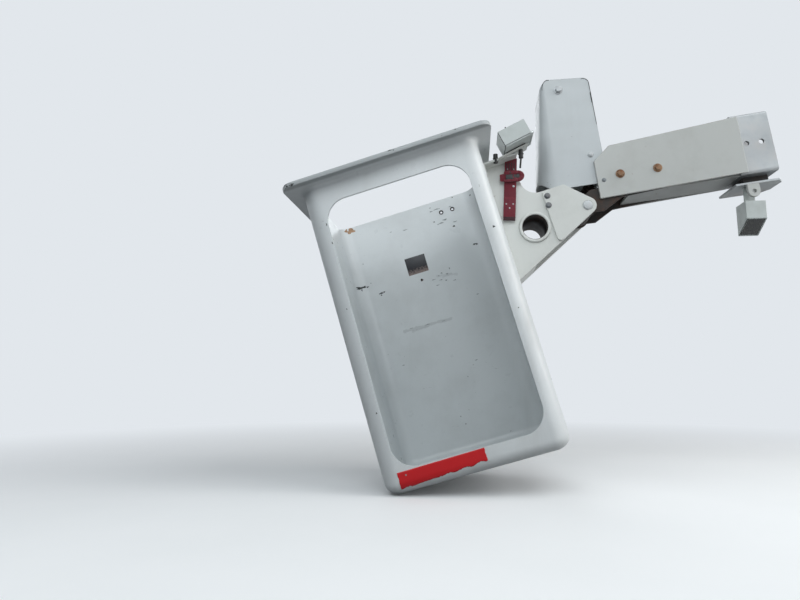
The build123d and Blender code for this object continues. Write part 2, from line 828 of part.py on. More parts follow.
# Levelling cylinder, along its own axis from the barrel's pin to the rod's eye
boss_outer = lug_inner - barrel_boss_inset
bore_start = barrel_radius + barrel_head
with BuildPart() as level_barrel:
    with BuildSketch(Plane.YZ):
        Circle(barrel_radius)
    extrude(amount=barrel_length)
    with BuildSketch(Plane.YZ.offset(barrel_length)):
        Circle(barrel_radius + gland_wall)
    extrude(amount=gland_length)
    with BuildSketch(across(-boss_outer)):
        Circle(barrel_radius)
    extrude(amount=-2 * boss_outer)
    with BuildSketch(across(-boss_outer)):
        Circle(barrel_pin_radius + running)
    extrude(amount=-2 * boss_outer, mode=Mode.SUBTRACT)
    with BuildSketch(Plane.YZ.offset(bore_start)):
        Circle(barrel_bore)
    extrude(amount=barrel_length - bore_start, mode=Mode.SUBTRACT)
    with BuildSketch(Plane.YZ.offset(barrel_length)):
        Circle(rod_radius + running)
    extrude(amount=gland_length, mode=Mode.SUBTRACT)
finish(level_barrel, "level_barrel", cylinder_frame)

with BuildPart() as level_rod:
    with BuildSketch(Plane.YZ.offset(piston_at)):
        Circle(barrel_bore - piston_gap)
    extrude(amount=piston_length)
    with BuildSketch(Plane.YZ.offset(piston_at)):
        Circle(rod_radius)
    extrude(amount=barrel_to_eye - piston_at)
    with BuildSketch(across(-eye_width / 2)):
        with Locations((barrel_to_eye, 0)):
            Circle(eye_radius)
    extrude(amount=-eye_width)
    with BuildSketch(across(-eye_width / 2 - eye_bush)):
        with Locations((barrel_to_eye, 0)):
            Circle(eye_bush_radius)
    extrude(amount=-eye_width - 2 * eye_bush)
finish(level_rod, "level_rod", cylinder_frame)
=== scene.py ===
"""Dresses a work platform bucket and its boom tip: shapes, finishes, light and camera.

Metres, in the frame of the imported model: +X out of the boom socket, +Z up, and the bucket's opening
faces -Y. The bucket leans and the boom tip slopes, so each piece is modelled straight in its own
body's frame and turned into place.
"""

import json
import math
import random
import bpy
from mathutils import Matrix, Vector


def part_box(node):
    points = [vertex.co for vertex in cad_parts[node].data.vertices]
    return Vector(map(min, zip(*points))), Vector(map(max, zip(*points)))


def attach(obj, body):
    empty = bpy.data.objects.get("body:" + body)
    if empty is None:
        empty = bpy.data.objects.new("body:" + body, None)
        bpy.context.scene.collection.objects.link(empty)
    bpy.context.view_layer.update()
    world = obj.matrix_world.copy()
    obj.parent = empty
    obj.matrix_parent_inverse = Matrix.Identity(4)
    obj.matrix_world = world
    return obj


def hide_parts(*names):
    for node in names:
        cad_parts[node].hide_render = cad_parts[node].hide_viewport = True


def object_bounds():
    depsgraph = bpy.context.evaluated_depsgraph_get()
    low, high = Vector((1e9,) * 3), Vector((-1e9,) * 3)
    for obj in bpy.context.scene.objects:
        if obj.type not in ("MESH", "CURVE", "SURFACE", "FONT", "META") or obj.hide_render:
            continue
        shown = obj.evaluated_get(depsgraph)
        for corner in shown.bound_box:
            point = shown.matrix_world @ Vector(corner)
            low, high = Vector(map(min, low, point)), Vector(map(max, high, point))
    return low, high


bl_info = {
    "name": "Work Platform Bucket",
    "version": (1, 0, 0),
    "blender": (4, 5, 0),
    "location": "View3D > Sidebar > Bucket",
    "description": "Builds the looks of a work platform bucket with its boom tip",
    "category": "Object",
}

import bmesh
import bpy
from bpy.props import FloatProperty, FloatVectorProperty, PointerProperty
from mathutils import Matrix, Vector, noise

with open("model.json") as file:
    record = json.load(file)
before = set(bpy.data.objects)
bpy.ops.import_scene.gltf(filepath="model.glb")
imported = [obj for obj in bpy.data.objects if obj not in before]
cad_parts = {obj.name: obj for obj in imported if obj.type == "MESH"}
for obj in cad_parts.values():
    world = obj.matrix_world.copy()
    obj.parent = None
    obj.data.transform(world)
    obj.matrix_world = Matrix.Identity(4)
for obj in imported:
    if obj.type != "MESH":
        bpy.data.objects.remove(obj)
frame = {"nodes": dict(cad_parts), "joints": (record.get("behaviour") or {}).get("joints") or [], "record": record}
CAD_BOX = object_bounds()
RECORD = frame["record"]
MOUNTS = {m["name"]: m for m in RECORD["mounts"]}
BODY_OF = {n: b for b, names in RECORD["behaviour"]["bodies"].items() for n in names}
JOINTS = {j["name"]: j for j in frame["joints"]}

# Where the two leaning bodies stand
SOCKET_AXIS = Vector(MOUNTS["boom_socket"]["axis"])
FLOOR_AXIS = Vector(MOUNTS["bucket_floor"]["axis"])
SLOPE = math.atan2(SOCKET_AXIS.z, SOCKET_AXIS.x)
LEAN = math.atan2(-FLOOR_AXIS.x, FLOOR_AXIS.z)
PIVOT = Vector(JOINTS["bucket_tilt"]["pos_m"])
TIP = Matrix.Rotation(-SLOPE, 4, "Y")
BRACKET = Matrix.Translation(PIVOT) @ Matrix.Rotation(-LEAN, 4, "Y")
TIP_AT_PIVOT = Matrix.Translation(PIVOT) @ TIP

# Bucket, from the middle of its underside
BUCKET_REACH = 0.631
BUCKET_DROP = 0.752
BUCKET = BRACKET @ Matrix.Translation((-BUCKET_REACH, 0, -BUCKET_DROP))
DRAFT = math.tan(math.radians(0.45))
CORNER_STEPS = 14
FOOT_STEPS = 8
GATE_STEPS = 16
UNDER_ROUND, RIM_ROUND, MOUTH_ROUND = 0.0025, 0.0065, 0.003   # edges of the lip
HANGER_HOLES = [(0.145, 1.010), (0.195, 1.010)]               # across and up the far wall
HANGER_RADIUS = 0.005

# Pad for the bracket, on the wall towards the tip
PAD_WIDTH, PAD_LOW, PAD_HIGH = 0.240, 0.557, 1.010
PAD_DEPTH = 0.0145
PAD_SUNK = 0.004

SHARP_ANGLE = math.radians(32)     # edges that turn more than this stay crisp


def tone(red, green, blue):
    """A colour written as a screen shows it, as the light values that Blender reads."""
    shares = [level / 255 for level in (red, green, blue)]
    return tuple(c / 12.92 if c <= 0.04045 else ((c + 0.055) / 1.055) ** 2.4 for c in shares)


class BucketSizes(bpy.types.PropertyGroup):
    """Sizes of the moulding."""

    width: FloatProperty(name="Width", description="Outer width at the foot", default=0.605, unit="LENGTH")
    height: FloatProperty(name="Height", description="Underside to rim", default=1.067, unit="LENGTH")
    wall: FloatProperty(name="Wall", description="Thickness of the moulding", default=0.008, unit="LENGTH")
    corner: FloatProperty(
        name="Corner", description="Radius of the upright corners", default=0.058, unit="LENGTH"
    )
    foot: FloatProperty(name="Foot", description="Radius round the underside", default=0.040, unit="LENGTH")
    lip: FloatProperty(
        name="Lip", description="Reach of the lip beyond the wall", default=0.0527, unit="LENGTH"
    )
    lip_height: FloatProperty(
        name="Lip height", description="Thickness of the lip", default=0.018, unit="LENGTH"
    )
    lip_corner: FloatProperty(
        name="Lip corner", description="Radius of the lip's corners", default=0.043, unit="LENGTH"
    )
    lip_root: FloatProperty(name="Lip root", description="Fillet under the lip", default=0.016, unit="LENGTH")
    gate_width: FloatProperty(
        name="Opening width", description="Width of the side opening", default=0.492, unit="LENGTH"
    )
    gate_low: FloatProperty(
        name="Opening foot", description="Its foot above the underside", default=0.072, unit="LENGTH"
    )
    gate_high: FloatProperty(
        name="Opening head", description="Its head above the underside", default=0.977, unit="LENGTH"
    )
    gate_corner: FloatProperty(
        name="Opening corner", description="Radius of its corners", default=0.075, unit="LENGTH"
    )


class BucketFinish(bpy.types.PropertyGroup):
    """Colours and wear of the finishes."""

    gelcoat: FloatVectorProperty(
        name="Gelcoat", description="Moulded shell and cover", subtype="COLOR", default=tone(219, 223, 224)
    )
    paint: FloatVectorProperty(
        name="Paint", description="Enamel on the steel plates", subtype="COLOR", default=tone(214, 216, 212)
    )
    plastic: FloatVectorProperty(
        name="Plastic", description="Console and lamp", subtype="COLOR", default=tone(190, 196, 194)
    )
    strap: FloatVectorProperty(
        name="Strap", description="Webbing", subtype="COLOR", default=tone(122, 22, 42)
    )
    signal: FloatVectorProperty(
        name="Signal red", description="Strip on the sill", subtype="COLOR", default=tone(196, 0, 12)
    )
    wear: FloatProperty(name="Wear", description="Amount of dirt and chips", default=1.0, min=0.0, max=1.0)


# Shader graphs


class Graph:
    """A node tree with short calls that add a node and join its sockets."""

    def __init__(self, tree):
        self.tree = tree

    def node(self, kind, **settings):
        made = self.tree.nodes.new(kind)
        for key, value in settings.items():
            setattr(made, key, value)
        return made

    def join(self, value, socket):
        if isinstance(value, bpy.types.NodeSocket):
            self.tree.links.new(value, socket)
        elif socket.type == "RGBA" and len(value) == 3:
            socket.default_value = (*value, 1.0)
        else:
            socket.default_value = value

    def place(self, scale=(1, 1, 1), turn=(0, 0, 0)):
        """Object coordinates, stretched and turned."""
        made = self.node("ShaderNodeMapping")
        self.join(self.node("ShaderNodeTexCoord").outputs["Object"], made.inputs["Vector"])
        made.inputs["Scale"].default_value = scale
        made.inputs["Rotation"].default_value = turn
        return made.outputs["Vector"]

    def noise(self, scale, detail=4.0, rough=0.55, vector=None, distortion=0.0):
        made = self.node("ShaderNodeTexNoise")
        self.join(vector or self.place(), made.inputs["Vector"])
        self.join(scale, made.inputs["Scale"])
        self.join(detail, made.inputs["Detail"])
        self.join(rough, made.inputs["Roughness"])
        self.join(distortion, made.inputs["Distortion"])
        return made.outputs["Fac"]

    def math(self, operation, first, second=0.0):
        made = self.node("ShaderNodeMath", operation=operation)
        self.join(first, made.inputs[0])
        self.join(second, made.inputs[1])
        return made.outputs[0]

    def vector(self, operation, first, second, share=None):
        made = self.node("ShaderNodeVectorMath", operation=operation)
        self.join(first, made.inputs[0])
        if share is None:
            self.join(second, made.inputs[1])
        else:
            self.join(share, made.inputs["Scale"])
        return made.outputs["Value" if operation in ("DOT_PRODUCT", "DISTANCE", "LENGTH") else "Vector"]

    def ramp(self, value, low, high, to_low=0.0, to_high=1.0):
        """Value spread from low..high to to_low..to_high, and held at the ends."""
        made = self.node("ShaderNodeMapRange", clamp=True)
        for socket, number in zip(made.inputs, (value, low, high, to_low, to_high)):
            self.join(number, socket)
        return made.outputs[0]

    def mix(self, share, first, second):
        made = self.node("ShaderNodeMix", data_type="RGBA", clamp_factor=True)
        self.join(share, made.inputs[0])
        self.join(first, made.inputs[6])
        self.join(second, made.inputs[7])
        return made.outputs[2]

    def use(self, group, **values):
        """Places a node group, with its inputs by name."""
        made = self.node("ShaderNodeGroup")
        made.node_tree = GROUPS[group]
        for name, value in values.items():
            self.join(value, made.inputs[name.replace("_", " ").capitalize()])
        return made.outputs

    def bump(self, height, strength, distance, normal=None):
        made = self.node("ShaderNodeBump")
        self.join(height, made.inputs["Height"])
        self.join(strength, made.inputs["Strength"])
        self.join(distance, made.inputs["Distance"])
        if normal:
            self.join(normal, made.inputs["Normal"])
        return made.outputs["Normal"]


GROUPS = {}


def node_group(name, inputs, outputs, fill):
    """Makes a shared shader group. Each input is (name, socket, default) and each output (name, socket)."""
    tree = bpy.data.node_groups.new(name, "ShaderNodeTree")
    for label, kind, value in inputs:
        socket = tree.interface.new_socket(name=label, in_out="INPUT", socket_type=kind)
        socket.default_value = value
    for label, kind in outputs:
        tree.interface.new_socket(name=label, in_out="OUTPUT", socket_type=kind)
    graph = Graph(tree)
    source = graph.node("NodeGroupInput").outputs
    result = graph.node("NodeGroupOutput").inputs
    fill(graph, source, result)
    GROUPS[name] = tree


def fill_dirt(g, source, result):
    """Cloudy patches, streaks that run down the leaning walls, and fine dust."""
    clouds = g.noise(source["Scale"], 6.0, 0.6)
    patches = g.ramp(clouds, 0.48, 0.72)
    runs = g.noise(9.0, 5.0, 0.6, g.place((1.0, 1.0, 0.07), (0, LEAN, 0)))
    streaks = g.ramp(runs, 0.56, 0.74)
    dust = g.ramp(g.noise(160.0, 3.0, 0.7), 0.55, 0.8)
    total = g.math("MULTIPLY", patches, source["Patches"])
    total = g.math("ADD", total, g.math("MULTIPLY", streaks, source["Streaks"]))
    total = g.math("ADD", total, g.math("MULTIPLY", dust, source["Dust"]))
    g.join(g.ramp(total, 0.0, 1.0), result["Dirt"])


def fill_scuffs(g, source, result):
    """Thin scuffed lines across the walls, and specks between them."""
    long_way = g.noise(14.0, 6.0, 0.75, g.place((0.9, 0.9, 9.0), (0, LEAN, 0)), 0.4)
    lines = g.ramp(long_way, 0.66, 0.72)
    where = g.ramp(g.noise(5.0, 2.0), 0.52, 0.62)
    specks = g.ramp(g.noise(70.0, 2.0, 0.5), 0.735, 0.76)
    few = g.ramp(g.noise(7.0, 1.0), 0.5, 0.6)
    both = g.math("MAXIMUM", g.math("MULTIPLY", lines, where), g.math("MULTIPLY", specks, few))
    g.join(g.math("MULTIPLY", both, source["Amount"]), result["Mask"])


def fill_edges(g, source, result):
    """Broken wear along the edges, where a rounded normal leaves the true one."""
    softened = g.node("ShaderNodeBevel", samples=4)
    g.join(source["Reach"], softened.inputs["Radius"])
    true_normal = g.node("ShaderNodeNewGeometry").outputs["Normal"]
    alike = g.vector("DOT_PRODUCT", softened.outputs["Normal"], true_normal)
    edge = g.ramp(alike, 0.99, 0.86)
    broken = g.ramp(g.noise(60.0, 5.0, 0.7), 0.42, 0.62)
    g.join(g.math("MULTIPLY", g.math("MULTIPLY", edge, broken), source["Amount"]), result["Mask"])


def fill_rust(g, source, result):
    """Rust in two tints, with its grain as a height."""
    grain = g.noise(source["Scale"], 8.0, 0.7)
    fine = g.noise(420.0, 3.0, 0.7)
    tint = g.mix(g.ramp(grain, 0.38, 0.62), source["Dark"], source["Light"])
    g.join(g.mix(g.ramp(fine, 0.3, 0.8, 0.0, 0.5), tint, source["Dark"]), result["Colour"])
    g.join(grain, result["Height"])


def fill_mark(g, source, result):
    """A ragged chip, or a streak where the run is long."""
    away = g.vector("SUBTRACT", g.place(), source["Place"])
    run = source["Run"]
    length = g.math("ADD", g.vector("DOT_PRODUCT", run, run), 1e-8)
    share = g.ramp(g.math("DIVIDE", g.vector("DOT_PRODUCT", away, run), length), 0.0, 1.0)
    apart = g.vector("DISTANCE", away, g.vector("SCALE", run, None, share))
    ragged = g.math("MULTIPLY", g.noise(source["Grain"], 4.0, 0.75), source["Radius"])
    reach = g.math("ADD", apart, g.math("MULTIPLY", ragged, 3.0))
    inner = g.math("MULTIPLY", source["Radius"], 2.1)
    outer = g.math("MULTIPLY", source["Radius"], 2.5)
    made = g.node("ShaderNodeMapRange", clamp=True)
    for socket, value in zip(made.inputs, (reach, inner, outer, 1.0, 0.0)):
        g.join(value, socket)
    g.join(made.outputs[0], result["Mask"])


def make_groups():
    """Makes the shader groups that the finishes share."""
    number, colour, vector = "NodeSocketFloat", "NodeSocketColor", "NodeSocketVector"
    node_group(
        "Dirt",
        [("Scale", number, 6.0), ("Patches", number, 0.3), ("Streaks", number, 0.2), ("Dust", number, 0.1)],
        [("Dirt", number)], fill_dirt,
    )
    node_group("Scuffs", [("Amount", number, 1.0)], [("Mask", number)], fill_scuffs)
    node_group(
        "Edge wear", [("Reach", number, 0.002), ("Amount", number, 1.0)], [("Mask", number)], fill_edges
    )
    node_group(
        "Rust",
        [
            ("Scale", number, 40.0), ("Dark", colour, (0.05, 0.03, 0.02, 1)),
            ("Light", colour, (0.3, 0.12, 0.04, 1)),
        ],
        [("Colour", colour), ("Height", number)], fill_rust,
    )
    node_group(
        "Mark",
        [
            ("Place", vector, (0, 0, 0)), ("Run", vector, (0, 0, 0)), ("Radius", number, 0.01),
            ("Grain", number, 120.0),
        ],
        [("Mask", number)], fill_mark,
    )


RUST_DARK = tone(58, 34, 22)
RUST_LIGHT = tone(140, 78, 38)
GRIME = tone(120, 118, 108)
CHIP = tone(52, 50, 47)
NEAR_RIM_GREY = tone(104, 110, 112)
STREAK = tone(112, 116, 116)
RIM_FROM, RIM_TO = 0.330, 0.346     # towards the near rim, whose outer part the shell greys


def new_material(name):
    """A material with its graph and its Principled shader."""
    made = bpy.data.materials.new(name)
    made.use_nodes = True
    graph = Graph(made.node_tree)
    return made, graph, made.node_tree.nodes["Principled BSDF"].inputs


def gelcoat(name, colour, wear, edges, spots, weathered=0.0):
    """Glossy moulded shell with grime, scuffs and chips, and the outer part of its near lip greyed by the share
    given as weathered.

    Each spot is (place, run, radius, strength).
    """
    made, g, shader = new_material(name)
    dirt = g.use("Dirt", scale=3.2, patches=0.30 * wear, streaks=0.20 * wear, dust=0.10 * wear)["Dirt"]
    shade = g.mix(g.ramp(g.noise(1.6, 2.0), 0.35, 0.65, 0.0, 0.12), colour, tone(186, 192, 196))
    shade = g.mix(g.math("MULTIPLY", dirt, 0.55), shade, GRIME)
    # Greys the near lip's edge, top and underside by position alone, on the near side only
    rim = g.ramp(g.vector("DOT_PRODUCT", g.place(), (0, -1, 0)), RIM_FROM, RIM_TO, 0.0, weathered)
    shade = g.mix(rim, shade, NEAR_RIM_GREY)
    scuffs = g.use("Scuffs", amount=0.55 * wear)["Mask"]
    shade = g.mix(scuffs, shade, tone(92, 92, 88))
    damage = scuffs
    for place, run, radius, strength in spots:
        mask = g.use("Mark", place=place, run=run, radius=radius, grain=0.3 / radius)["Mask"]
        mask = g.math("MULTIPLY", mask, strength * wear)
        shade = g.mix(mask, shade, STREAK)
        damage = g.math("MAXIMUM", damage, mask)
    edge = g.use("Edge wear", reach=0.003, amount=edges * wear)["Mask"]
    g.join(g.mix(edge, shade, CHIP), shader["Base Color"])
    rough = g.ramp(g.noise(24.0, 5.0), 0.3, 0.7, 0.26, 0.40)
    rough = g.math("ADD", rough, g.math("MULTIPLY", dirt, 0.25))
    g.join(g.math("ADD", rough, g.math("MULTIPLY", damage, 0.2)), shader["Roughness"])
    peel = g.bump(g.noise(140.0, 2.0), 0.06, 0.0006)
    g.join(g.bump(g.math("SUBTRACT", 1.0, damage), 0.3, 0.0006, peel), shader["Normal"])
    return made


def enamel(name, colour, wear, rust):
    """Painted steel whose edges rust."""
    made, g, shader = new_material(name)
    dirt = g.use("Dirt", scale=7.0, patches=0.35 * wear, streaks=0.25 * wear, dust=0.15 * wear)["Dirt"]
    shade = g.mix(g.math("MULTIPLY", dirt, 0.5), colour, GRIME)
    iron = g.use("Rust", scale=45.0, dark=RUST_DARK, light=RUST_LIGHT)
    edge = g.use("Edge wear", reach=0.0035, amount=rust)["Mask"]
    bloom = g.math("MULTIPLY", g.ramp(g.noise(22.0, 7.0, 0.7), 0.66, 0.72), rust)
    bare = g.math("MAXIMUM", edge, bloom)
    g.join(g.mix(bare, shade, iron["Colour"]), shader["Base Color"])
    rough = g.math("ADD", g.math("MULTIPLY", dirt, 0.3), 0.34)
    g.join(g.math("ADD", rough, g.math("MULTIPLY", bare, 0.3)), shader["Roughness"])
    peel = g.bump(g.noise(230.0, 2.0), 0.05, 0.0004)
    g.join(g.bump(bare, 0.25, 0.0005, peel), shader["Normal"])
    return made


def bare_metal(name, dark, light, rough, metallic, rust, scale=30.0):
    """Plain, plated or rusty metal."""
    made, g, shader = new_material(name)
    cloud = g.ramp(g.noise(scale, 6.0, 0.65), 0.32, 0.68)
    shade = g.mix(cloud, dark, light)
    iron = g.use("Rust", scale=scale * 1.6, dark=RUST_DARK, light=RUST_LIGHT)
    patch = g.math("MULTIPLY", g.ramp(g.noise(scale * 0.5, 7.0, 0.7), 0.45, 0.62), rust)
    g.join(g.mix(patch, shade, iron["Colour"]), shader["Base Color"])
    g.join(g.ramp(patch, 0.0, 1.0, metallic, 0.1), shader["Metallic"])
    dulled = g.ramp(cloud, 0.0, 1.0, rough, rough + 0.16)
    g.join(g.math("ADD", dulled, g.math("MULTIPLY", patch, 0.3)), shader["Roughness"])
    height = g.math("ADD", g.noise(310.0, 4.0), g.math("MULTIPLY", iron["Height"], rust))
    g.join(g.bump(height, 0.18, 0.0006), shader["Normal"])
    return made


def plastic(name, colour, rough, wear):
    """Moulded plastic with a fine grain."""
    made, g, shader = new_material(name)
    dirt = g.use("Dirt", scale=14.0, patches=0.4 * wear, streaks=0.35 * wear, dust=0.25 * wear)["Dirt"]
    g.join(g.mix(g.math("MULTIPLY", dirt, 0.5), colour, tone(110, 106, 96)), shader["Base Color"])
    g.join(g.ramp(dirt, 0.0, 1.0, rough, 0.75), shader["Roughness"])
    g.join(g.bump(g.noise(650.0, 3.0), 0.12, 0.0004), shader["Normal"])
    return made


def webbing(name, colour):
    """Woven strap: fine ribs across and a faded face."""
    made, g, shader = new_material(name)
    ribs = g.node("ShaderNodeTexWave", wave_type="BANDS", bands_direction="Z")
    g.join(g.place(), ribs.inputs["Vector"])
    g.join(330.0, ribs.inputs["Scale"])
    g.join(1.5, ribs.inputs["Distortion"])
    cross = g.node("ShaderNodeTexWave", wave_type="BANDS", bands_direction="X")
    g.join(g.place(), cross.inputs["Vector"])
    g.join(420.0, cross.inputs["Scale"])
    weave = g.math("MULTIPLY", ribs.outputs["Fac"], cross.outputs["Fac"])
    faded = g.mix(g.ramp(g.noise(26.0, 5.0), 0.4, 0.7, 0.0, 0.4), colour, tone(96, 34, 48))
    g.join(g.mix(g.ramp(weave, 0.0, 1.0, 0.35, 0.0), faded, tone(60, 10, 22)), shader["Base Color"])
    g.join(0.82, shader["Roughness"])
    g.join(0.3, shader["Sheen Weight"])
    g.join(g.bump(weave, 0.5, 0.0006), shader["Normal"])
    return made


def label_film(name):
    """Blank dark label, worn pale towards its lower edge."""
    made, g, shader = new_material(name)
    up = BUCKET.to_3x3() @ Vector((0, 0, 1))
    low, high = ((BUCKET @ Vector((0, 0, z))).dot(up) for z in (LABEL_LOW + 0.002, LABEL_LOW + 0.026))
    ragged = g.ramp(g.noise(140.0, 5.0, 0.7), 0.3, 0.7, -0.012, 0.012)
    height = g.vector("DOT_PRODUCT", g.place(), up)
    worn = g.ramp(g.math("ADD", height, ragged), low, high, 0.8, 0.0)
    scratch = g.ramp(g.noise(260.0, 4.0, 0.7), 0.6, 0.7, 0.0, 0.35)
    shade = g.mix(scratch, tone(22, 23, 30), tone(96, 94, 98))
    g.join(g.mix(worn, shade, tone(160, 142, 136)), shader["Base Color"])
    g.join(0.42, shader["Roughness"])
    return made


def signal_film(name, colour):
    """Red strip, sun-faded and scratched."""
    made, g, shader = new_material(name)
    fade = g.ramp(g.noise(9.0, 4.0), 0.35, 0.7, 0.0, 0.25)
    shade = g.mix(fade, colour, tone(176, 20, 34))
    scratch = g.ramp(g.noise(120.0, 5.0, 0.7), 0.70, 0.74, 0.0, 0.6)
    g.join(g.mix(scratch, shade, tone(206, 190, 186)), shader["Base Color"])
    g.join(g.ramp(fade, 0.0, 0.25, 0.48, 0.6), shader["Roughness"])
    return made


def glass(name):
    """Dark lamp glass."""
    made, g, shader = new_material(name)
    dust = g.ramp(g.noise(60.0, 4.0), 0.5, 0.75, 0.0, 0.4)
    g.join(g.mix(dust, tone(26, 30, 34), tone(110, 108, 100)), shader["Base Color"])
    g.join(g.ramp(dust, 0.0, 0.4, 0.08, 0.4), shader["Roughness"])
    return made


# Faint streaks on the far wall: across and up from the middle of the underside, run, radius and strength
STREAKS = [
    (-0.152, 0.556, 0.205, -0.004, 0.0075, 0.24), (-0.120, 0.545, 0.070, 0.003, 0.0045, 0.18),
    (0.050, 0.745, 0.080, -0.016, 0.0060, 0.16), (0.070, 0.732, 0.040, 0.006, 0.0050, 0.12),
]


def wall_marks(sizes):
    """The streaks as spots of the gelcoat."""
    far = sizes.width / 2 - sizes.wall
    turn = BUCKET.to_3x3()
    return [
        (BUCKET @ Vector((x, far + z * DRAFT, z)), turn @ Vector((right, 0, rise)), radius, strength)
        for x, z, right, rise, radius, strength in STREAKS
    ]


MATERIALS = {}


def make_materials(sizes, finish):
    wear = finish.wear
    white, enamelled, moulded, webbed, red = (
        tuple(getattr(finish, name)) for name in ("gelcoat", "paint", "plastic", "strap", "signal")
    )
    MATERIALS.update(
        shell=gelcoat("Bucket gelcoat", white, wear, 0.25, wall_marks(sizes), 0.55),
        cover=gelcoat("Cover gelcoat", tone(192, 197, 199), 0.8 * wear, 0.9, []),
        paint=enamel("White enamel", tone(186, 188, 185), wear, 0.75 * wear),
        plate=enamel("Bracket enamel", enamelled, 0.8 * wear, 0.45 * wear),
        iron=bare_metal("Dark rusty iron", tone(26, 25, 24), tone(48, 44, 41), 0.55, 0.3, 0.16),
        weathered=bare_metal("Weathered zinc", tone(92, 98, 101), tone(138, 144, 147), 0.5, 0.6, 0.2, 40.0),
        zinc=bare_metal("Dull zinc", tone(144, 148, 150), tone(176, 179, 180), 0.45, 0.7, 0.15, 14.0),
        steel=bare_metal("Turned steel", tone(160, 162, 162), tone(200, 201, 200), 0.28, 0.9, 0.12, 50.0),
        bolt=bare_metal("Rusty bolt", tone(120, 96, 76), tone(160, 128, 98), 0.5, 0.5, 0.75, 60.0),
        chrome=bare_metal("Polished rod", tone(200, 202, 204), tone(222, 224, 226), 0.1, 1.0, 0.0),
        bronze=bare_metal("Bush bronze", tone(140, 104, 56), tone(172, 130, 72), 0.4, 0.9, 0.0),
        plastic=plastic("Console plastic", moulded, 0.48, wear),
        black=plastic("Black plastic", tone(28, 28, 30), 0.5, 0.5 * wear),
        strap=webbing("Strap webbing", webbed),
        dark_strap=webbing("Strap foot", tone(30, 8, 16)),
        thread=plastic("Sewing thread", tone(140, 48, 66), 0.8, 0.3 * wear),
        label=label_film("Blank label"),
        signal=signal_film("Signal red film", red),
        glass=glass("Lamp glass"),
        chip=plastic("Dark chip", tone(58, 60, 60), 0.8, 0.6 * wear),
        scratch=plastic("Grey scratch", tone(136, 142, 143), 0.6, 0.3 * wear),
        brown=bare_metal("Rust stain", tone(168, 130, 100), tone(196, 164, 134), 0.7, 0.0, 0.5, 160.0),
    )


# Mesh helpers


def smooth(mesh):
    """Shades the rounds smooth and keeps the sharp edges crisp."""
    mesh.shade_smooth()
    mesh.set_sharp_from_angle(angle=SHARP_ANGLE)


def settle(bm, name, place, body, material, replaces=()):
    """Turns a finished bmesh into a piece at its place in the row frame."""
    bm.transform(place)
    mesh = bpy.data.meshes.new(name)
    bm.to_mesh(mesh)
    bm.free()
    smooth(mesh)
    made = bpy.data.objects.new(name, mesh)
    bpy.context.scene.collection.objects.link(made)
    mesh.materials.append(MATERIALS[material])
    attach(made, body)
    if replaces:
        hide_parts(*replaces)
    return made


def round_edges(made, width, segments=2, angle=35.0):
    """Bevels the sharp edges and keeps the flats flat."""
    bevel = made.modifiers.new("Round edges", "BEVEL")
    bevel.width = width
    bevel.segments = segments
    bevel.limit_method = "ANGLE"
    bevel.angle_limit = math.radians(angle)
    bevel.harden_normals = True
    bevel.miter_outer = "MITER_ARC"


def apply_modifiers(made):
    """Applies the piece's modifiers, in place."""
    graph = bpy.context.evaluated_depsgraph_get()
    mesh = bpy.data.meshes.new_from_object(made.evaluated_get(graph))
    old = made.data
    made.modifiers.clear()
    made.data = mesh
    bpy.data.meshes.remove(old)
    smooth(mesh)


def cut(made, cutter, operation="DIFFERENCE"):
    """Cuts a piece with a closed bmesh, or joins or trims it."""
    bmesh.ops.recalc_face_normals(cutter, faces=cutter.faces)
    mesh = bpy.data.meshes.new("cutter")
    cutter.to_mesh(mesh)
    cutter.free()
    tool = bpy.data.objects.new("cutter", mesh)
    bpy.context.scene.collection.objects.link(tool)
    boolean = made.modifiers.new("Cut", "BOOLEAN")
    boolean.operation = operation
    boolean.solver = "EXACT"
    boolean.object = tool
    apply_modifiers(made)
    bpy.data.objects.remove(tool)
    bpy.data.meshes.remove(mesh)


def edges_of(verts):
    return list({e for v in verts for e in v.link_edges})


def open_edges(bm):
    return [e for e in bm.edges if e.is_boundary]


def verts_in(geom):
    return [g for g in geom if isinstance(g, bmesh.types.BMVert)]


def bevel_edges(bm, edges, offset, segments, **more):
    bmesh.ops.bevel(
        bm, geom=edges, offset=offset, affect="EDGES", segments=segments, profile=0.5, material=-1, **more
    )


def clip(bm, point, out, near=0.0):
    """Takes off everything beyond a plane and leaves the cut open."""
    geom = [*bm.verts, *bm.edges, *bm.faces]
    bmesh.ops.bisect_plane(bm, geom=geom, dist=near, plane_co=point, plane_no=out, clear_outer=True)


def slab(bm, outline, half):
    """Adds a closed plate with the outline (x, z), half its thickness to each side."""
    face = bm.faces.new([bm.verts.new((x, -half, z)) for x, z in outline])
    lift = bmesh.ops.extrude_face_region(bm, geom=[face])["geom"]
    bmesh.ops.translate(bm, vec=(0, 2 * half, 0), verts=verts_in(lift))


def block(bm, low, high, radius=0.0, segments=3):
    """Adds a block with rounded edges, and returns its vertices as they were before rounding."""
    made = bmesh.ops.create_cube(bm, size=1.0)["verts"]
    low, high = Vector(low), Vector(high)
    bmesh.ops.scale(bm, vec=high - low, verts=made)
    bmesh.ops.translate(bm, vec=(low + high) / 2, verts=made)
    if radius:
        bevel_edges(bm, edges_of(made), radius, segments)
    return made


def facing(middle, out):
    """The place of a round shape about an axis."""
    return Matrix.Translation(middle) @ out.to_track_quat("Z", "Y").to_matrix().to_4x4()


def rod(bm, start, end, radius, sides=32, bevel=0.0, far_radius=None):
    """Adds a round bar, or a cone, from start to end."""
    start, end = Vector(start), Vector(end)
    made = bmesh.ops.create_cone(
        bm, cap_ends=True, segments=sides, radius1=radius, radius2=far_radius or radius,
        depth=(end - start).length, matrix=facing((start + end) / 2, end - start),
    )["verts"]
    if bevel:
        rims = [e for e in edges_of(made) if any(len(f.verts) == sides for f in e.link_faces)]
        bevel_edges(bm, rims, bevel, 2)


FULL_HEAD = 0.82      # rise of a full bolt head, as a share of its size


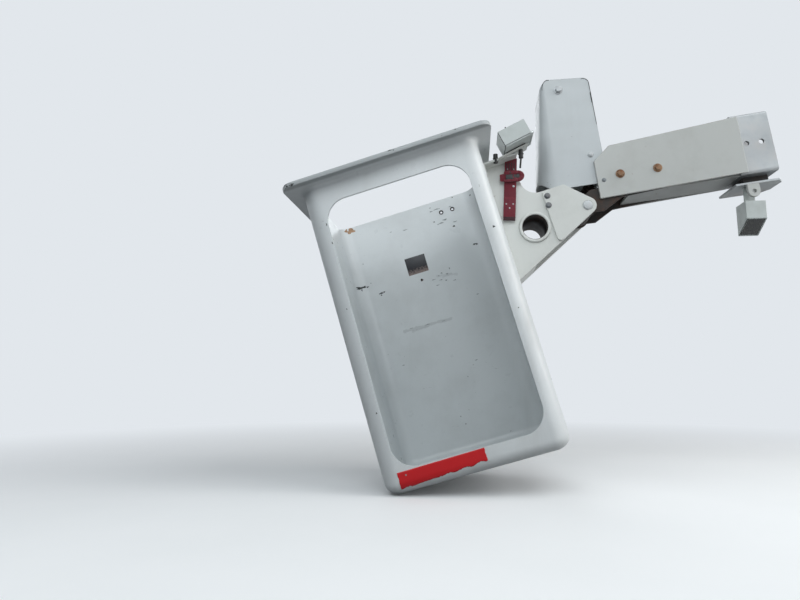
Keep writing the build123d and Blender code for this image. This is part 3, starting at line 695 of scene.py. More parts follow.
def hex_bolt(bm, place, out, size, turn, height):
    """Adds a washer, a six-sided head and its round chamfer, facing out. Height is a share of the size."""
    place, out = Vector(place), Vector(out).normalized()
    rise = out * size * height / FULL_HEAD
    rod(bm, place, place + rise * 0.16, size * 1.3, 32, size * 0.04)
    head = bmesh.ops.create_cone(
        bm, cap_ends=True, segments=6, radius1=size, radius2=size * 0.95, depth=rise.length * 0.58,
        matrix=facing(place + rise * 0.45, out) @ Matrix.Rotation(turn, 4, "Z"),
    )["verts"]
    bevel_edges(bm, edges_of(head), size * 0.07, 2)
    rod(bm, place + rise * 0.70, place + rise * FULL_HEAD, size * 0.78, 24, 0.0, size * 0.66)


def ring(bm, centre, axis, major, minor, steps=32, sides=10):
    """Adds a round ring about an axis, and returns its vertices."""
    centre, axis = Vector(centre), Vector(axis).normalized()
    old = set(bm.verts)
    side = axis.orthogonal().normalized()
    matrix = Matrix((side, axis, side.cross(axis))).transposed().to_4x4()
    circle = bmesh.ops.create_circle(
        bm, segments=sides, radius=minor, matrix=Matrix.Translation(centre + side * major) @ matrix
    )["verts"]
    bmesh.ops.spin(
        bm, geom=edges_of(circle) + circle, cent=centre, axis=axis, angle=math.tau, steps=steps,
        use_merge=True,
    )
    made = [v for v in bm.verts if v not in old]
    bmesh.ops.recalc_face_normals(bm, faces=list({f for v in made for f in v.link_faces}))
    return made


# Bucket


def next_ring(bm, edges, core, half, radius, z):
    """Carries the skin on to a rounded square at height z, and returns its edges and its core."""
    made = bmesh.ops.extrude_edge_only(bm, edges=edges)["geom"]
    next_core = half - radius
    for v in verts_in(made):
        held = Vector([max(-core, min(core, c)) for c in v.co.xy])
        away = (v.co.xy - held).normalized() * radius
        v.co = (math.copysign(next_core, held.x) + away.x, math.copysign(next_core, held.y) + away.y, z)
    return [g for g in made if isinstance(g, bmesh.types.BMEdge) and g.is_boundary], next_core


def bucket_skin(sizes):
    """The moulding's whole skin: outside, under and round the lip, over it, and down the inside."""
    foot, top = sizes.width / 2, sizes.width / 2 + sizes.height * DRAFT
    inner = sizes.corner - sizes.wall
    low_z = sizes.height - sizes.lip_height
    bm = bmesh.new()
    bmesh.ops.create_cube(bm, size=1.0)
    for v in bm.verts:
        z, reach = (0, foot) if v.co.z < 0 else (low_z, foot + low_z * DRAFT)
        v.co = (math.copysign(reach, v.co.x), math.copysign(reach, v.co.y), z)
    upright = [e for e in bm.edges if abs(e.verts[0].co.z - e.verts[1].co.z) > low_z / 2]
    bevel_edges(bm, upright, sizes.corner, CORNER_STEPS)
    bottom = min(bm.faces, key=lambda f: f.calc_center_median().z)
    bevel_edges(bm, list(bottom.edges), sizes.foot, FOOT_STEPS, clamp_overlap=False)
    lid = max(bm.faces, key=lambda f: f.calc_center_median().z)
    bmesh.ops.delete(bm, geom=[lid], context="FACES_ONLY")

    root = open_edges(bm)
    core = foot + low_z * DRAFT - sizes.corner
    reach = top + sizes.lip
    low_edge, core = next_ring(bm, root, core, reach, sizes.lip_corner, low_z)
    high_edge, core = next_ring(bm, low_edge, core, reach, sizes.lip_corner, sizes.height)
    mouth, core = next_ring(bm, high_edge, core, top - sizes.wall, inner, sizes.height)
    floor, core = next_ring(bm, mouth, core, foot - sizes.wall, inner, sizes.wall)
    bmesh.ops.holes_fill(bm, edges=floor)
    bevel_edges(bm, floor, sizes.foot - sizes.wall, FOOT_STEPS, clamp_overlap=False)
    bevel_edges(bm, root, sizes.lip_root, 6)
    bevel_edges(bm, low_edge, UNDER_ROUND, 3)
    bevel_edges(bm, high_edge, RIM_ROUND, 5)
    bevel_edges(bm, mouth, MOUTH_ROUND, 3)
    bmesh.ops.recalc_face_normals(bm, faces=bm.faces)
    return bm


def make_bucket(sizes):
    """The moulding with its pad, its side opening and its hanger holes."""
    made = settle(bucket_skin(sizes), "Bucket_Moulding", Matrix(), "bucket", "shell")
    reach = sizes.width / 2
    pad = bmesh.new()
    block(pad, (reach - PAD_SUNK, -PAD_WIDTH / 2, PAD_LOW), (reach + PAD_DEPTH, PAD_WIDTH / 2, PAD_HIGH))
    cut(made, pad, "UNION")

    gate = bmesh.new()
    side, through = sizes.gate_width / 2, 0.04
    block(gate, (-side, -reach - through, sizes.gate_low), (side, -reach + through, sizes.gate_high))
    across = [e for e in gate.edges if abs(e.verts[0].co.y - e.verts[1].co.y) > through]
    bevel_edges(gate, across, sizes.gate_corner, GATE_STEPS)
    through = 0.03
    for x, z in HANGER_HOLES:
        rod(gate, (x, reach - through, z), (x, reach + through, z), HANGER_RADIUS, 24)
    cut(made, gate)
    made.data.transform(BUCKET)
    round_edges(made, 0.0030, 4, 50.0)
    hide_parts("bucket_shell")


STRIP_LEFT, STRIP_RIGHT = -0.246, 0.037
STRIP_TOP, STRIP_LOW = 0.067, 0.013               # at its left end
STRIP_TOP_RISE, STRIP_LOW_RISE = 0.004, 0.019     # to its right end
STRIP_COLUMNS, STRIP_ROWS = 140, 12
FILM = 0.0004
RIVET_AT = (-0.220, 0.0545)


def make_red_strip(sizes):
    """Film over the sill and round the foot, torn along its lower edge, and a rivet through it."""
    bm = bmesh.new()
    bmesh.ops.create_grid(bm, x_segments=STRIP_COLUMNS, y_segments=STRIP_ROWS, size=0.5)
    half, foot = sizes.width / 2 + FILM, sizes.foot
    for v in bm.verts:
        share, fall = v.co.x + 0.5, 0.5 - v.co.y
        x = STRIP_LEFT + (STRIP_RIGHT - STRIP_LEFT) * share
        top = STRIP_TOP + STRIP_TOP_RISE * share
        low = STRIP_LOW + STRIP_LOW_RISE * share
        tear = 0.006 * noise.noise(Vector((x * 38.0, 0, 0)))
        tear += 0.003 * noise.noise(Vector((x * 150.0, 4.0, 0)))
        z = top - (top - low - tear) * fall
        y = -half - z * DRAFT
        if z < foot:
            turn = min((foot - z) / foot, math.pi / 2)
            z = foot - math.sin(turn) * foot
            y = -half - foot * DRAFT + foot * (1 - math.cos(turn))
        if share in (0, 1):
            ragged = 0.0025 * noise.noise(Vector((0, fall * 4.0, 7.0)))
            x += ragged if share else -ragged
        v.co = (x, y, z)
    made = settle(bm, "Red_Strip", BUCKET, "bucket", "signal")
    film = made.modifiers.new("Film", "SOLIDIFY")
    film.thickness = FILM
    film.offset = 0.0
    bm = bmesh.new()
    x, z = RIVET_AT
    place = Vector((x, -sizes.width / 2 - z * DRAFT, z))
    rod(bm, place, place - Vector((0, 0.0009, 0)), 0.0028, 20, 0.0004)
    settle(bm, "Strip_Rivet", BUCKET, "bucket", "scratch")


# Chips: across and up from the middle of the underside, width, height
FAR_CHIPS = [
    (-0.286, 0.790, 0.026, 0.011), (-0.268, 0.792, 0.016, 0.008), (-0.254, 0.788, 0.010, 0.006),
    (-0.280, 0.780, 0.005, 0.009), (-0.203, 0.744, 0.018, 0.007), (-0.190, 0.746, 0.010, 0.005),
    (-0.205, 0.736, 0.006, 0.006), (0.243, 0.831, 0.022, 0.006), (0.250, 0.827, 0.008, 0.005),
    (0.180, 0.934, 0.010, 0.007), (0.103, 0.978, 0.006, 0.005), (0.285, 1.042, 0.006, 0.005),
    (0.210, 1.060, 0.006, 0.004), (0.104, 1.044, 0.005, 0.004), (-0.019, 0.748, 0.011, 0.010),
]
FAR_SCRATCHES = [
    (0.132, 0.964, 0.022, 0.005), (0.150, 0.974, 0.018, 0.006), (0.116, 0.962, 0.008, 0.003),
    (0.190, 0.952, 0.016, 0.004), (0.130, 1.030, 0.026, 0.004), (0.104, 1.027, 0.014, 0.004),
    (0.188, 1.024, 0.010, 0.003), (-0.028, 0.983, 0.020, 0.003), (0.030, 0.734, 0.016, 0.003),
    (0.060, 0.724, 0.012, 0.003), (0.116, 0.706, 0.014, 0.003), (0.040, 0.706, 0.014, 0.003),
    (-0.246, 0.892, 0.004, 0.004), (-0.196, 0.420, 0.010, 0.003), (0.103, 0.356, 0.012, 0.003),
    (0.050, 0.300, 0.004, 0.004), (-0.235, 0.800, 0.006, 0.003), (-0.090, 0.993, 0.008, 0.003),
    (0.190, 0.620, 0.010, 0.003), (-0.120, 0.561, 0.016, 0.002), (-0.050, 0.556, 0.020, 0.003),
    (0.020, 0.552, 0.016, 0.002), (0.070, 0.752, 0.008, 0.005), (0.092, 0.742, 0.010, 0.006),
    (0.108, 0.762, 0.005, 0.008), (0.080, 0.716, 0.008, 0.006), (0.055, 0.744, 0.006, 0.004),
]
NEAR_CHIPS = [
    (0.273, 0.730, 0.009, 0.007), (-0.258, 0.261, 0.005, 0.005), (-0.252, 0.905, 0.003, 0.010),
    (-0.250, 0.838, 0.003, 0.008), (0.268, 0.455, 0.004, 0.004), (-0.262, 0.610, 0.003, 0.005),
]
RIM_CHIPS = [
    (-0.334, 1.058, 0.030, 0.015), (-0.322, 1.053, 0.016, 0.008), (-0.344, 1.063, 0.012, 0.005),
    (0.022, 1.063, 0.012, 0.004), (0.034, 1.060, 0.005, 0.003), (0.245, 1.062, 0.005, 0.003),
]


RUSTY_CHIPS = [(-0.258, 1.052, 0.030, 0.024), (-0.278, 1.056, 0.014, 0.014)]
FLAKE_RISE, FLAKE_ROOT = 0.00018, 0.0004     # out of the wall and into it


def far_face(sizes, x, z):
    """Where the far wall's inside lies, round its corners too."""
    radius = sizes.corner - sizes.wall
    core = sizes.width / 2 - sizes.wall + z * DRAFT - radius
    over = max(0.0, abs(x) - core)
    return core + math.sqrt(max(0.0, radius ** 2 - over ** 2))


def near_face(sizes, x, z):
    """Where the near wall's outside lies."""
    core = sizes.width / 2 + z * DRAFT - sizes.corner
    over = max(0.0, abs(x) - core)
    return -core - math.sqrt(max(0.0, sizes.corner ** 2 - over ** 2))


def rim_face(sizes, x, z):
    """Where the lip's near edge lies, over its round upper edge too."""
    core = sizes.width / 2 + sizes.height * DRAFT + sizes.lip - sizes.lip_corner
    over = max(0.0, abs(x) - core)
    up = max(0.0, z - sizes.height + RIM_ROUND)
    edge = -core - math.sqrt(sizes.lip_corner ** 2 - over ** 2)
    return edge + RIM_ROUND - math.sqrt(max(0.0, RIM_ROUND ** 2 - up ** 2))


def flakes(sizes, rows, face, name, material, seed):
    """Thin ragged flakes that follow a face of the moulding, seen from the near side."""
    shake = random.Random(seed)
    bm = bmesh.new()
    for x, z, width, height in rows:
        rim = bmesh.ops.create_circle(bm, cap_ends=True, segments=18, radius=0.5)["verts"]
        phase = shake.uniform(0, math.tau)
        for v in rim:
            angle = math.atan2(v.co.y, v.co.x)
            ragged = 1 + 0.28 * math.sin(3 * angle + phase) + shake.uniform(-0.22, 0.22)
            level = min(z + v.co.y * height * ragged, sizes.height - 0.0008)
            v.co = (x + v.co.x * width * ragged, 0, level)
        region = list({f for v in rim for f in v.link_faces})
        top = set(verts_in(bmesh.ops.extrude_face_region(bm, geom=region)["geom"]))
        for v in set(rim) | top:
            v.co.y = face(sizes, v.co.x, v.co.z) + (-FLAKE_RISE if v in top else FLAKE_ROOT)
    bmesh.ops.recalc_face_normals(bm, faces=bm.faces)
    settle(bm, name, BUCKET, "bucket", material)


def make_chips(sizes):
    """Chips and scratches, each list as one piece."""
    for name, rows, face, material, seed in (
        ("Far_Chips", FAR_CHIPS, far_face, "chip", 3),
        ("Far_Scratches", FAR_SCRATCHES, far_face, "scratch", 5),
        ("Near_Chips", NEAR_CHIPS, near_face, "chip", 7),
        ("Rim_Chips", RIM_CHIPS, rim_face, "chip", 9),
        ("Rusty_Chip", RUSTY_CHIPS, far_face, "brown", 11),
    ):
        flakes(sizes, rows, face, name, material, seed)


LABEL_LEFT, LABEL_RIGHT, LABEL_LOW, LABEL_HIGH = -0.067, 0.022, 0.780, 0.857
LABEL_MIDDLE = 0.82
SCREW_AT, SCREW_RADIUS = (-0.019, 0.748), 0.0052


def make_bucket_trim(sizes):
    """Blank label and screw on the far wall, and the eyelets of the hanger holes."""
    far = sizes.width / 2 - sizes.wall
    bm = bmesh.new()
    wall = far + LABEL_MIDDLE * DRAFT
    block(bm, (LABEL_LEFT, wall - 0.0006, LABEL_LOW), (LABEL_RIGHT, wall + 0.001, LABEL_HIGH), 0.0005, 2)
    settle(bm, "Blank_Label", BUCKET, "bucket", "label")
    bm = bmesh.new()
    x, z = SCREW_AT
    wall = far + z * DRAFT
    rod(bm, (x, wall + 0.001, z), (x, wall - 0.0022, z), SCREW_RADIUS, 24, 0.0008)
    rod(bm, (x, wall - 0.002, z), (x, wall - 0.0028, z), SCREW_RADIUS * 0.45, 6)
    settle(bm, "Wall_Screws", BUCKET, "bucket", "iron")
    bm = bmesh.new()
    for x, z in HANGER_HOLES:
        wall = far + z * DRAFT
        ring(bm, (x, wall - 0.0004, z), (0, 1, 0), 0.0074, 0.0023, 32, 8)
        ring(bm, (x, wall + sizes.wall + 0.0002, z), (0, 1, 0), 0.0066, 0.0014, 32, 8)
    settle(bm, "Hole_Eyelets", BUCKET, "bucket", "iron")


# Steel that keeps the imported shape


def dress(node, name, material, width, segments=2, face=None):
    """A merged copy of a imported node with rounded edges, in its place. Heads beyond the face come off."""
    bm = bmesh.new()
    bm.from_mesh(frame["nodes"][node].data)
    bmesh.ops.remove_doubles(bm, verts=bm.verts, dist=1e-5)
    if face:
        plane = Vector((0, face, 0))
        clip(bm, plane, plane.normalized(), 2e-6)
        bmesh.ops.holes_fill(bm, edges=open_edges(bm))
    bmesh.ops.dissolve_limit(bm, angle_limit=math.radians(1.0), verts=bm.verts, edges=bm.edges)
    made = settle(bm, name, Matrix(), BODY_OF[node], material, (node,))
    round_edges(made, width, segments)


# Outer faces of the arm plates, the cheeks and the cover, across from the middle
ARM_FACE, CHEEK_FACE, COVER_FACE = 0.106, 0.095, 0.085
ARM_BOLTS = [(-0.123, 0.076), (-0.129, 0.042)]     # from the pivot, up the bucket
CHEEK_BOLTS = [(0.131, 0.099), (0.260, 0.099)]     # from the pivot, along the tip
CHEEK_STUDS = [(0.0725, 0.085)]
UPPER_COVER_BOLTS = [(-0.028, 0.455)]
LOWER_COVER_BOLTS = [(0.045, 0.190)]

# Node, name, material, radius of its edges, and the face beyond which its bolt heads come off
BRACKET_PIECES = [
    ("bracket_plate_near", "Near_Bracket_Plate", "plate", 0.0018, None),
    ("bracket_plate_far", "Far_Bracket_Plate", "plate", 0.0018, None),
    ("arm_plate_near", "Near_Arm_Plate", "plate", 0.0012, -ARM_FACE),
    ("arm_plate_far", "Far_Arm_Plate", "plate", 0.0012, ARM_FACE),
    ("back_plate", "Back_Plate", "plate", 0.0018, None),
    ("lower_flange", "Lower_Flange", "plate", 0.0015, None),
    ("torque_tube", "Torque_Tube", "plate", 0.0032, None),
    ("console_shelf", "Console_Shelf", "plate", 0.0012, None),
]
TIP_PIECES = [
    ("cheek_near", "Near_Cheek", "paint", 0.0015, -CHEEK_FACE),
    ("cheek_far", "Far_Cheek", "paint", 0.0015, CHEEK_FACE),
    ("tip_top_plate", "Tip_Top_Plate", "paint", 0.0012, None),
    ("tip_bottom_plate", "Tip_Bottom_Plate", "paint", 0.0012, None),
    ("pivot_lug_near", "Near_Pivot_Lug", "iron", 0.0015, None),
    ("pivot_lug_far", "Far_Pivot_Lug", "iron", 0.0015, None),
    ("boom_sleeve", "Boom_Sleeve", "zinc", 0.0020, None),
    ("base_plate", "Base_Plate", "zinc", 0.0015, None),
    ("stand_off", "Stand_Off", "iron", 0.0015, None),
    ("eye_lug", "Eye_Lug", "paint", 0.0015, None),
    ("lamp_housing", "Lamp_Housing", "plastic", 0.0025, None),
]
LEVEL_PIECES = [
    ("level_horn", "Levelling_Horn", "iron", 0.0012, None),
    ("level_barrel", "Levelling_Barrel", "iron", 0.0012, None),
]

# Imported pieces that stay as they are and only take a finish
KEPT_NODES = {
    "bush_near": "bronze", "bush_far": "bronze", "barrel_pin": "steel", "cover_stay": "steel",
    "level_rod": "chrome", "lid_pin": "steel", "console_base": "black", "lamp_glass": "glass",
}


PIN_HEAD_RADIUS, PIN_HEAD_DEPTH = 0.015, 0.004


def make_pivot_pin():
    """Turned pin with chamfered heads."""
    low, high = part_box("pivot_pin")
    bm = bmesh.new()
    reach, radius = (high.y - low.y) / 2, (high.x - low.x) / 2
    shaft = reach - PIN_HEAD_DEPTH
    rod(bm, (0, -shaft, 0), (0, shaft, 0), radius, 64, 0.0008)
    for side in (-1, 1):
        rod(bm, (0, side * (shaft - 0.001), 0), (0, side * reach, 0), PIN_HEAD_RADIUS, 48, 0.0012)
    settle(bm, "Pivot_Pin", BRACKET, "bucket", "zinc", ("pivot_pin",))


# Tip cover, from the pivot: along the tip and up from it
COVER_FOOT_LEFT, COVER_FOOT_RIGHT, COVER_FOOT = -0.150, 0.088, 0.080
COVER_HEAD_LEFT, COVER_HEAD_RIGHT, COVER_HEAD = -0.088, 0.085, 0.505
COVER_FALL = 0.020                     # of its top, from left to right
COVER_HEAD_LOW = COVER_HEAD - COVER_FALL
COVER_CHAMFER = 0.045                  # of its lower left corner
COVER_WALL = 0.005
COVER_SIDE_FOOT, COVER_SIDE_HEAD = 0.073, 0.016     # radius of its upright left edges
COVER_TOP_LEFT, COVER_TOP_RIGHT = 0.040, 0.022      # radius of its upper corners
COVER_SPARE = 0.010                    # beyond foot and head, before they are cut
ROD_GATE = ((0.060, -0.045, 0.040), (0.110, 0.045, 0.165))
SEAM_LEFT, SEAM_RIGHT = 0.0013, 0.0011              # radius of the seams


def along(at, low, high):
    """The value at a place on the straight line through two points (value, place)."""
    return low[0] + (at - low[1]) * (high[0] - low[0]) / (high[1] - low[1])


def cover_left(z):
    return along(z, (COVER_FOOT_LEFT, COVER_FOOT + COVER_CHAMFER), (COVER_HEAD_LEFT, COVER_HEAD))


def cover_right(z):
    return along(z, (COVER_FOOT_RIGHT, COVER_FOOT), (COVER_HEAD_RIGHT, COVER_HEAD_LOW))


def cover_skin():
    """The four walls between a plan below the foot and one above the head, each with two round corners."""
    bm = bmesh.new()
    plans = []
    for z in (COVER_FOOT - COVER_SPARE, COVER_HEAD + COVER_SPARE):
        left, right = cover_left(z), cover_right(z)
        near_left, near_right, far_right, far_left = (
            bm.verts.new((x, y, z))
            for x, y in ((left, -COVER_FACE), (right, -COVER_FACE), (right, COVER_FACE), (left, COVER_FACE))
        )
        bm.faces.new((near_left, near_right, far_right, far_left))
        radius = along(z, (COVER_SIDE_FOOT, COVER_FOOT), (COVER_SIDE_HEAD, COVER_HEAD))
        bmesh.ops.bevel(
            bm, geom=[near_left, far_left], offset=radius, offset_type="OFFSET", affect="VERTICES",
            segments=CORNER_STEPS, profile=0.5, material=-1,
        )
        level = [f for f in bm.faces if abs(f.calc_center_median().z - z) < 1e-4]
        plans.append(max(level, key=lambda f: len(f.verts)))
    edges = [e for plan in plans for e in plan.edges]
    bmesh.ops.delete(bm, geom=plans, context="FACES_ONLY")
    bmesh.ops.bridge_loops(bm, edges=edges)
    bmesh.ops.holes_fill(bm, edges=open_edges(bm))
    bmesh.ops.recalc_face_normals(bm, faces=bm.faces)
    return bm


def cover_profile():
    """The cover's side view as a slab, with its sloping top and two round corners."""
    bm = bmesh.new()
    low = COVER_FOOT - 0.03
    upper_left, upper_right = (COVER_HEAD_LEFT, COVER_HEAD), (COVER_HEAD_RIGHT, COVER_HEAD_LOW)
    slab(bm, [(cover_left(low), low), (cover_right(low), low), upper_right, upper_left], 0.2)
    for (x, z), radius in ((upper_left, COVER_TOP_LEFT), (upper_right, COVER_TOP_RIGHT)):
        corner = [
            e for e in bm.edges if all(abs(v.co.x - x) < 1e-4 and abs(v.co.z - z) < 1e-4 for v in e.verts)
        ]
        bevel_edges(bm, corner, radius, 12)
    return bm


def cover_cuts():
    """The gate in the right wall for the levelling rod, and the wedge off the lower left corner."""
    bm = bmesh.new()
    block(bm, *ROD_GATE)
    left, foot, size, past = COVER_FOOT_LEFT, COVER_FOOT, COVER_CHAMFER, 0.06
    slab(
        bm,
        [
            (left - past, foot + size), (left, foot + size), (left + size, foot),
            (left + size, foot - past), (left - past, foot - past),
        ],
        0.2,
    )
    return bm


def make_cover():
    """Tall gelcoat cover, open at its foot, whose left edges are rounder towards the foot."""
    made = settle(cover_skin(), "Tip_Cover", Matrix(), "boom_tip", "cover")
    cut(made, cover_profile(), "INTERSECT")
    skin = bmesh.new()
    skin.from_mesh(made.data)
    clip(skin, (0, 0, COVER_FOOT), (0, 0, -1))
    skin.to_mesh(made.data)
    skin.free()
    shell = made.modifiers.new("Wall", "SOLIDIFY")
    shell.thickness = COVER_WALL
    shell.offset = -1.0
    shell.use_even_offset = True
    apply_modifiers(made)
    cut(made, cover_cuts())
    made.data.transform(TIP_AT_PIVOT)
    round_edges(made, 0.0016, 3, 40.0)
    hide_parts("tip_cover")


def left_seam():
    """Points round the upper left corner, kept on the cover's own outline."""
    points = []
    for degrees in range(-24, 79, 6):
        turn = math.radians(degrees)
        x = COVER_HEAD_LEFT + COVER_TOP_LEFT - COVER_TOP_LEFT * math.cos(turn)
        z = COVER_HEAD - COVER_TOP_LEFT + COVER_TOP_LEFT * math.sin(turn)
        x = max(x, cover_left(z))
        inset = 0.0043 * max(0.0, 1 - max(0.0, turn) / math.radians(50))
        top = along(x, (COVER_HEAD, COVER_HEAD_LEFT), (COVER_HEAD_LOW, COVER_HEAD_RIGHT))
        points.append((x + max(inset, 0.0010), -COVER_FACE + inset, min(z, top - 0.0014)))
    return points


def right_seam():
    """Points round the upper right corner and down the right edge."""
    inset, foot = 0.0012, 0.30
    radius = COVER_TOP_RIGHT - inset
    middle_x, middle_z = COVER_HEAD_RIGHT - COVER_TOP_RIGHT, COVER_HEAD_LOW - COVER_TOP_RIGHT
    points = []
    for degrees in range(-10, 81, 10):
        turn = math.radians(degrees)
        points.append((middle_x + radius * math.sin(turn), -COVER_FACE, middle_z + radius * math.cos(turn)))
    return points + [(cover_right(foot) - inset, -COVER_FACE, foot)]


def make_cover_seams():
    """Dark seams at the cover's edges, with a chip in the right one."""
    bm = bmesh.new()
    for points, radius in ((left_seam(), SEAM_LEFT), (right_seam(), SEAM_RIGHT)):
        for start, end in zip(points, points[1:]):
            rod(bm, start, end, radius, 10)
    right = COVER_HEAD_RIGHT
    rod(bm, (right - 0.0016, -COVER_FACE, 0.425), (right - 0.0014, -COVER_FACE, 0.385), 0.0022, 10)
    settle(bm, "Cover_Seams", TIP_AT_PIVOT, "boom_tip", "chip")


# Console, from the lid's near lower corner
LID_CORNER = BUCKET @ Matrix.Translation((0.405, -0.215, 1.0145)) @ Matrix.Rotation(math.radians(-10), 4, "Y")
LID_LENGTH, LID_DEPTH, LID_HEIGHT = 0.100, 0.108, 0.056
CATCH_X, CATCH_Y, CATCH_HALF = 0.035, 0.017, 0.005
GLANDS = [((-0.028, 0.072, 0.012), (-0.042, 0.072, -0.018)), ((0.056, 0.066, -0.018), (0.043, 0.066, -0.046))]
CABLE_STUB = ((0.044, 0.066, -0.044), (0.024, 0.068, -0.076))


def make_console():
    """Console with its lid and levers, the lid's seal, whose black strips under and beside the lid also paint the
    shade in its gap, its catch, and two cable glands.
    """
    dress("console_body", "Console_Body", "plastic", 0.0012, 3)
    dress("console_lid", "Console_Lid", "plastic", 0.0030, 3)
    dress("control_levers", "Control_Levers", "black", 0.0015, 3)
    bm = bmesh.new()
    # Black strips under the lid and up its near left edge: partly its seal, partly painted shade in the gap
    block(bm, (0.001, 0.0008, -0.0003), (LID_LENGTH - 0.001, LID_DEPTH - 0.0008, 0.0014), 0.0004, 2)
    block(bm, (-0.0009, -0.0003, 0.001), (0.0012, 0.0030, LID_HEIGHT - 0.003), 0.0006, 2)
    settle(bm, "Lid_Seal_And_Shade", LID_CORNER, "console_lid", "black")
    bm = bmesh.new()
    low = (CATCH_X - CATCH_HALF, CATCH_Y - CATCH_HALF, LID_HEIGHT - 0.001)
    block(bm, low, (CATCH_X + CATCH_HALF, CATCH_Y + CATCH_HALF, LID_HEIGHT + 0.0045), 0.0012, 2)
    knob, top = (CATCH_X, CATCH_Y, LID_HEIGHT + 0.003), (CATCH_X, CATCH_Y, LID_HEIGHT + 0.0095)
    rod(bm, knob, top, 0.0022, 16, 0.0005)
    settle(bm, "Lid_Catch", LID_CORNER, "console_lid", "iron")
    bm = bmesh.new()
    for start, end in GLANDS:
        start, end = Vector(start), Vector(end)
        rod(bm, start, end, 0.0082, 24, 0.0012)
        ring(bm, start.lerp(end, 0.5), end - start, 0.0086, 0.0016, 24, 8)
    rod(bm, *CABLE_STUB, 0.0034, 16, 0.0006)
    settle(bm, "Cable_Glands", LID_CORNER, "bucket", "black")


# Strap, from the middle of its top: across, out of its face and down
STRAP_TOP = BUCKET @ Matrix.Translation((0.426, -0.110, 0.9937))
STRAP_TURN = math.radians(19)
STRAP = STRAP_TOP @ Matrix.Rotation(STRAP_TURN, 4, "Y")
STRAP_LENGTH, STRAP_WIDTH = 0.225, 0.043
STRAP_HALF = STRAP_WIDTH / 2
WEBBING, DOUBLED = 0.0030, 0.0040      # thickness of one layer, and of the two below the seam
SEAM_AT = 0.138
EYELETS = [(0.034, WEBBING), (0.164, DOUBLED)]           # top of each group, and the strap's face there
EYELET_GROUP = [(-0.012, 0.0), (0.012, 0.0), (0.0, 0.015)]

# Keeper: a band round the strap, with a loop at its right end
KEEPER_AT = 0.064
KEEPER_TURN = math.radians(14)
KEEPER_LOOP = 0.022


def stitches(bm, start, end, gap=0.0042):
    """Adds a row of short threads that stand just proud of the webbing."""
    start, end = Vector(start), Vector(end)
    count = int((end - start).length / gap)
    run = (end - start) / count
    for i in range(count):
        low = start + run * (i + 0.2)
        rod(bm, low, low + run * 0.65, 0.00045, 6)


def make_strap():
    """Webbing that hangs from the shelf: one layer, cut level at its top, and a second below the seam."""
    foot = -STRAP_LENGTH + 0.010
    bm = bmesh.new()
    block(bm, (-STRAP_HALF, -WEBBING, foot), (STRAP_HALF, 0, 0.02), 0.0009, 2)
    up = Matrix.Rotation(-STRAP_TURN, 3, "Y") @ Vector((0, 0, 1))
    clip(bm, (0, 0, 0), up)
    bmesh.ops.holes_fill(bm, edges=open_edges(bm))
    block(bm, (-STRAP_HALF, -DOUBLED, foot), (STRAP_HALF, -0.0026, -SEAM_AT), 0.0006, 2)
    settle(bm, "Strap", STRAP, "bucket", "strap", ("strap",))


def make_strap_trim():
    """The strap's dark foot, its stitches and its eyelets."""
    bm = bmesh.new()
    side = STRAP_HALF - 0.0005
    block(bm, (-side, -0.0048, -STRAP_LENGTH), (side, 0.0004, -STRAP_LENGTH + 0.014), 0.0014, 3)
    settle(bm, "Strap_Foot", STRAP, "bucket", "dark_strap")
    bm = bmesh.new()
    inner = STRAP_HALF - 0.003
    for level in (-SEAM_AT - 0.003, -SEAM_AT - 0.007, -STRAP_LENGTH + 0.016):
        stitches(bm, (-inner, -DOUBLED, level), (inner, -DOUBLED, level))
    for x in (-inner, inner):
        stitches(bm, (x, -DOUBLED, -SEAM_AT - 0.010), (x, -DOUBLED, -STRAP_LENGTH + 0.018))
        stitches(bm, (x, -WEBBING, -0.012), (x, -WEBBING, -0.036))
    settle(bm, "Strap_Stitches", STRAP, "bucket", "thread")
    bm = bmesh.new()
    for start, face in EYELETS:
        for x, down in EYELET_GROUP:
            z = -start - down
            rod(bm, (x, -face + 0.001, z), (x, -face - 0.0006, z), 0.0028, 20, 0.0004)
    rod(bm, (0.012, -0.0020, -0.098), (0.012, -0.0040, -0.098), 0.0040, 24, 0.0006)
    settle(bm, "Strap_Eyelets", STRAP, "bucket", "zinc")


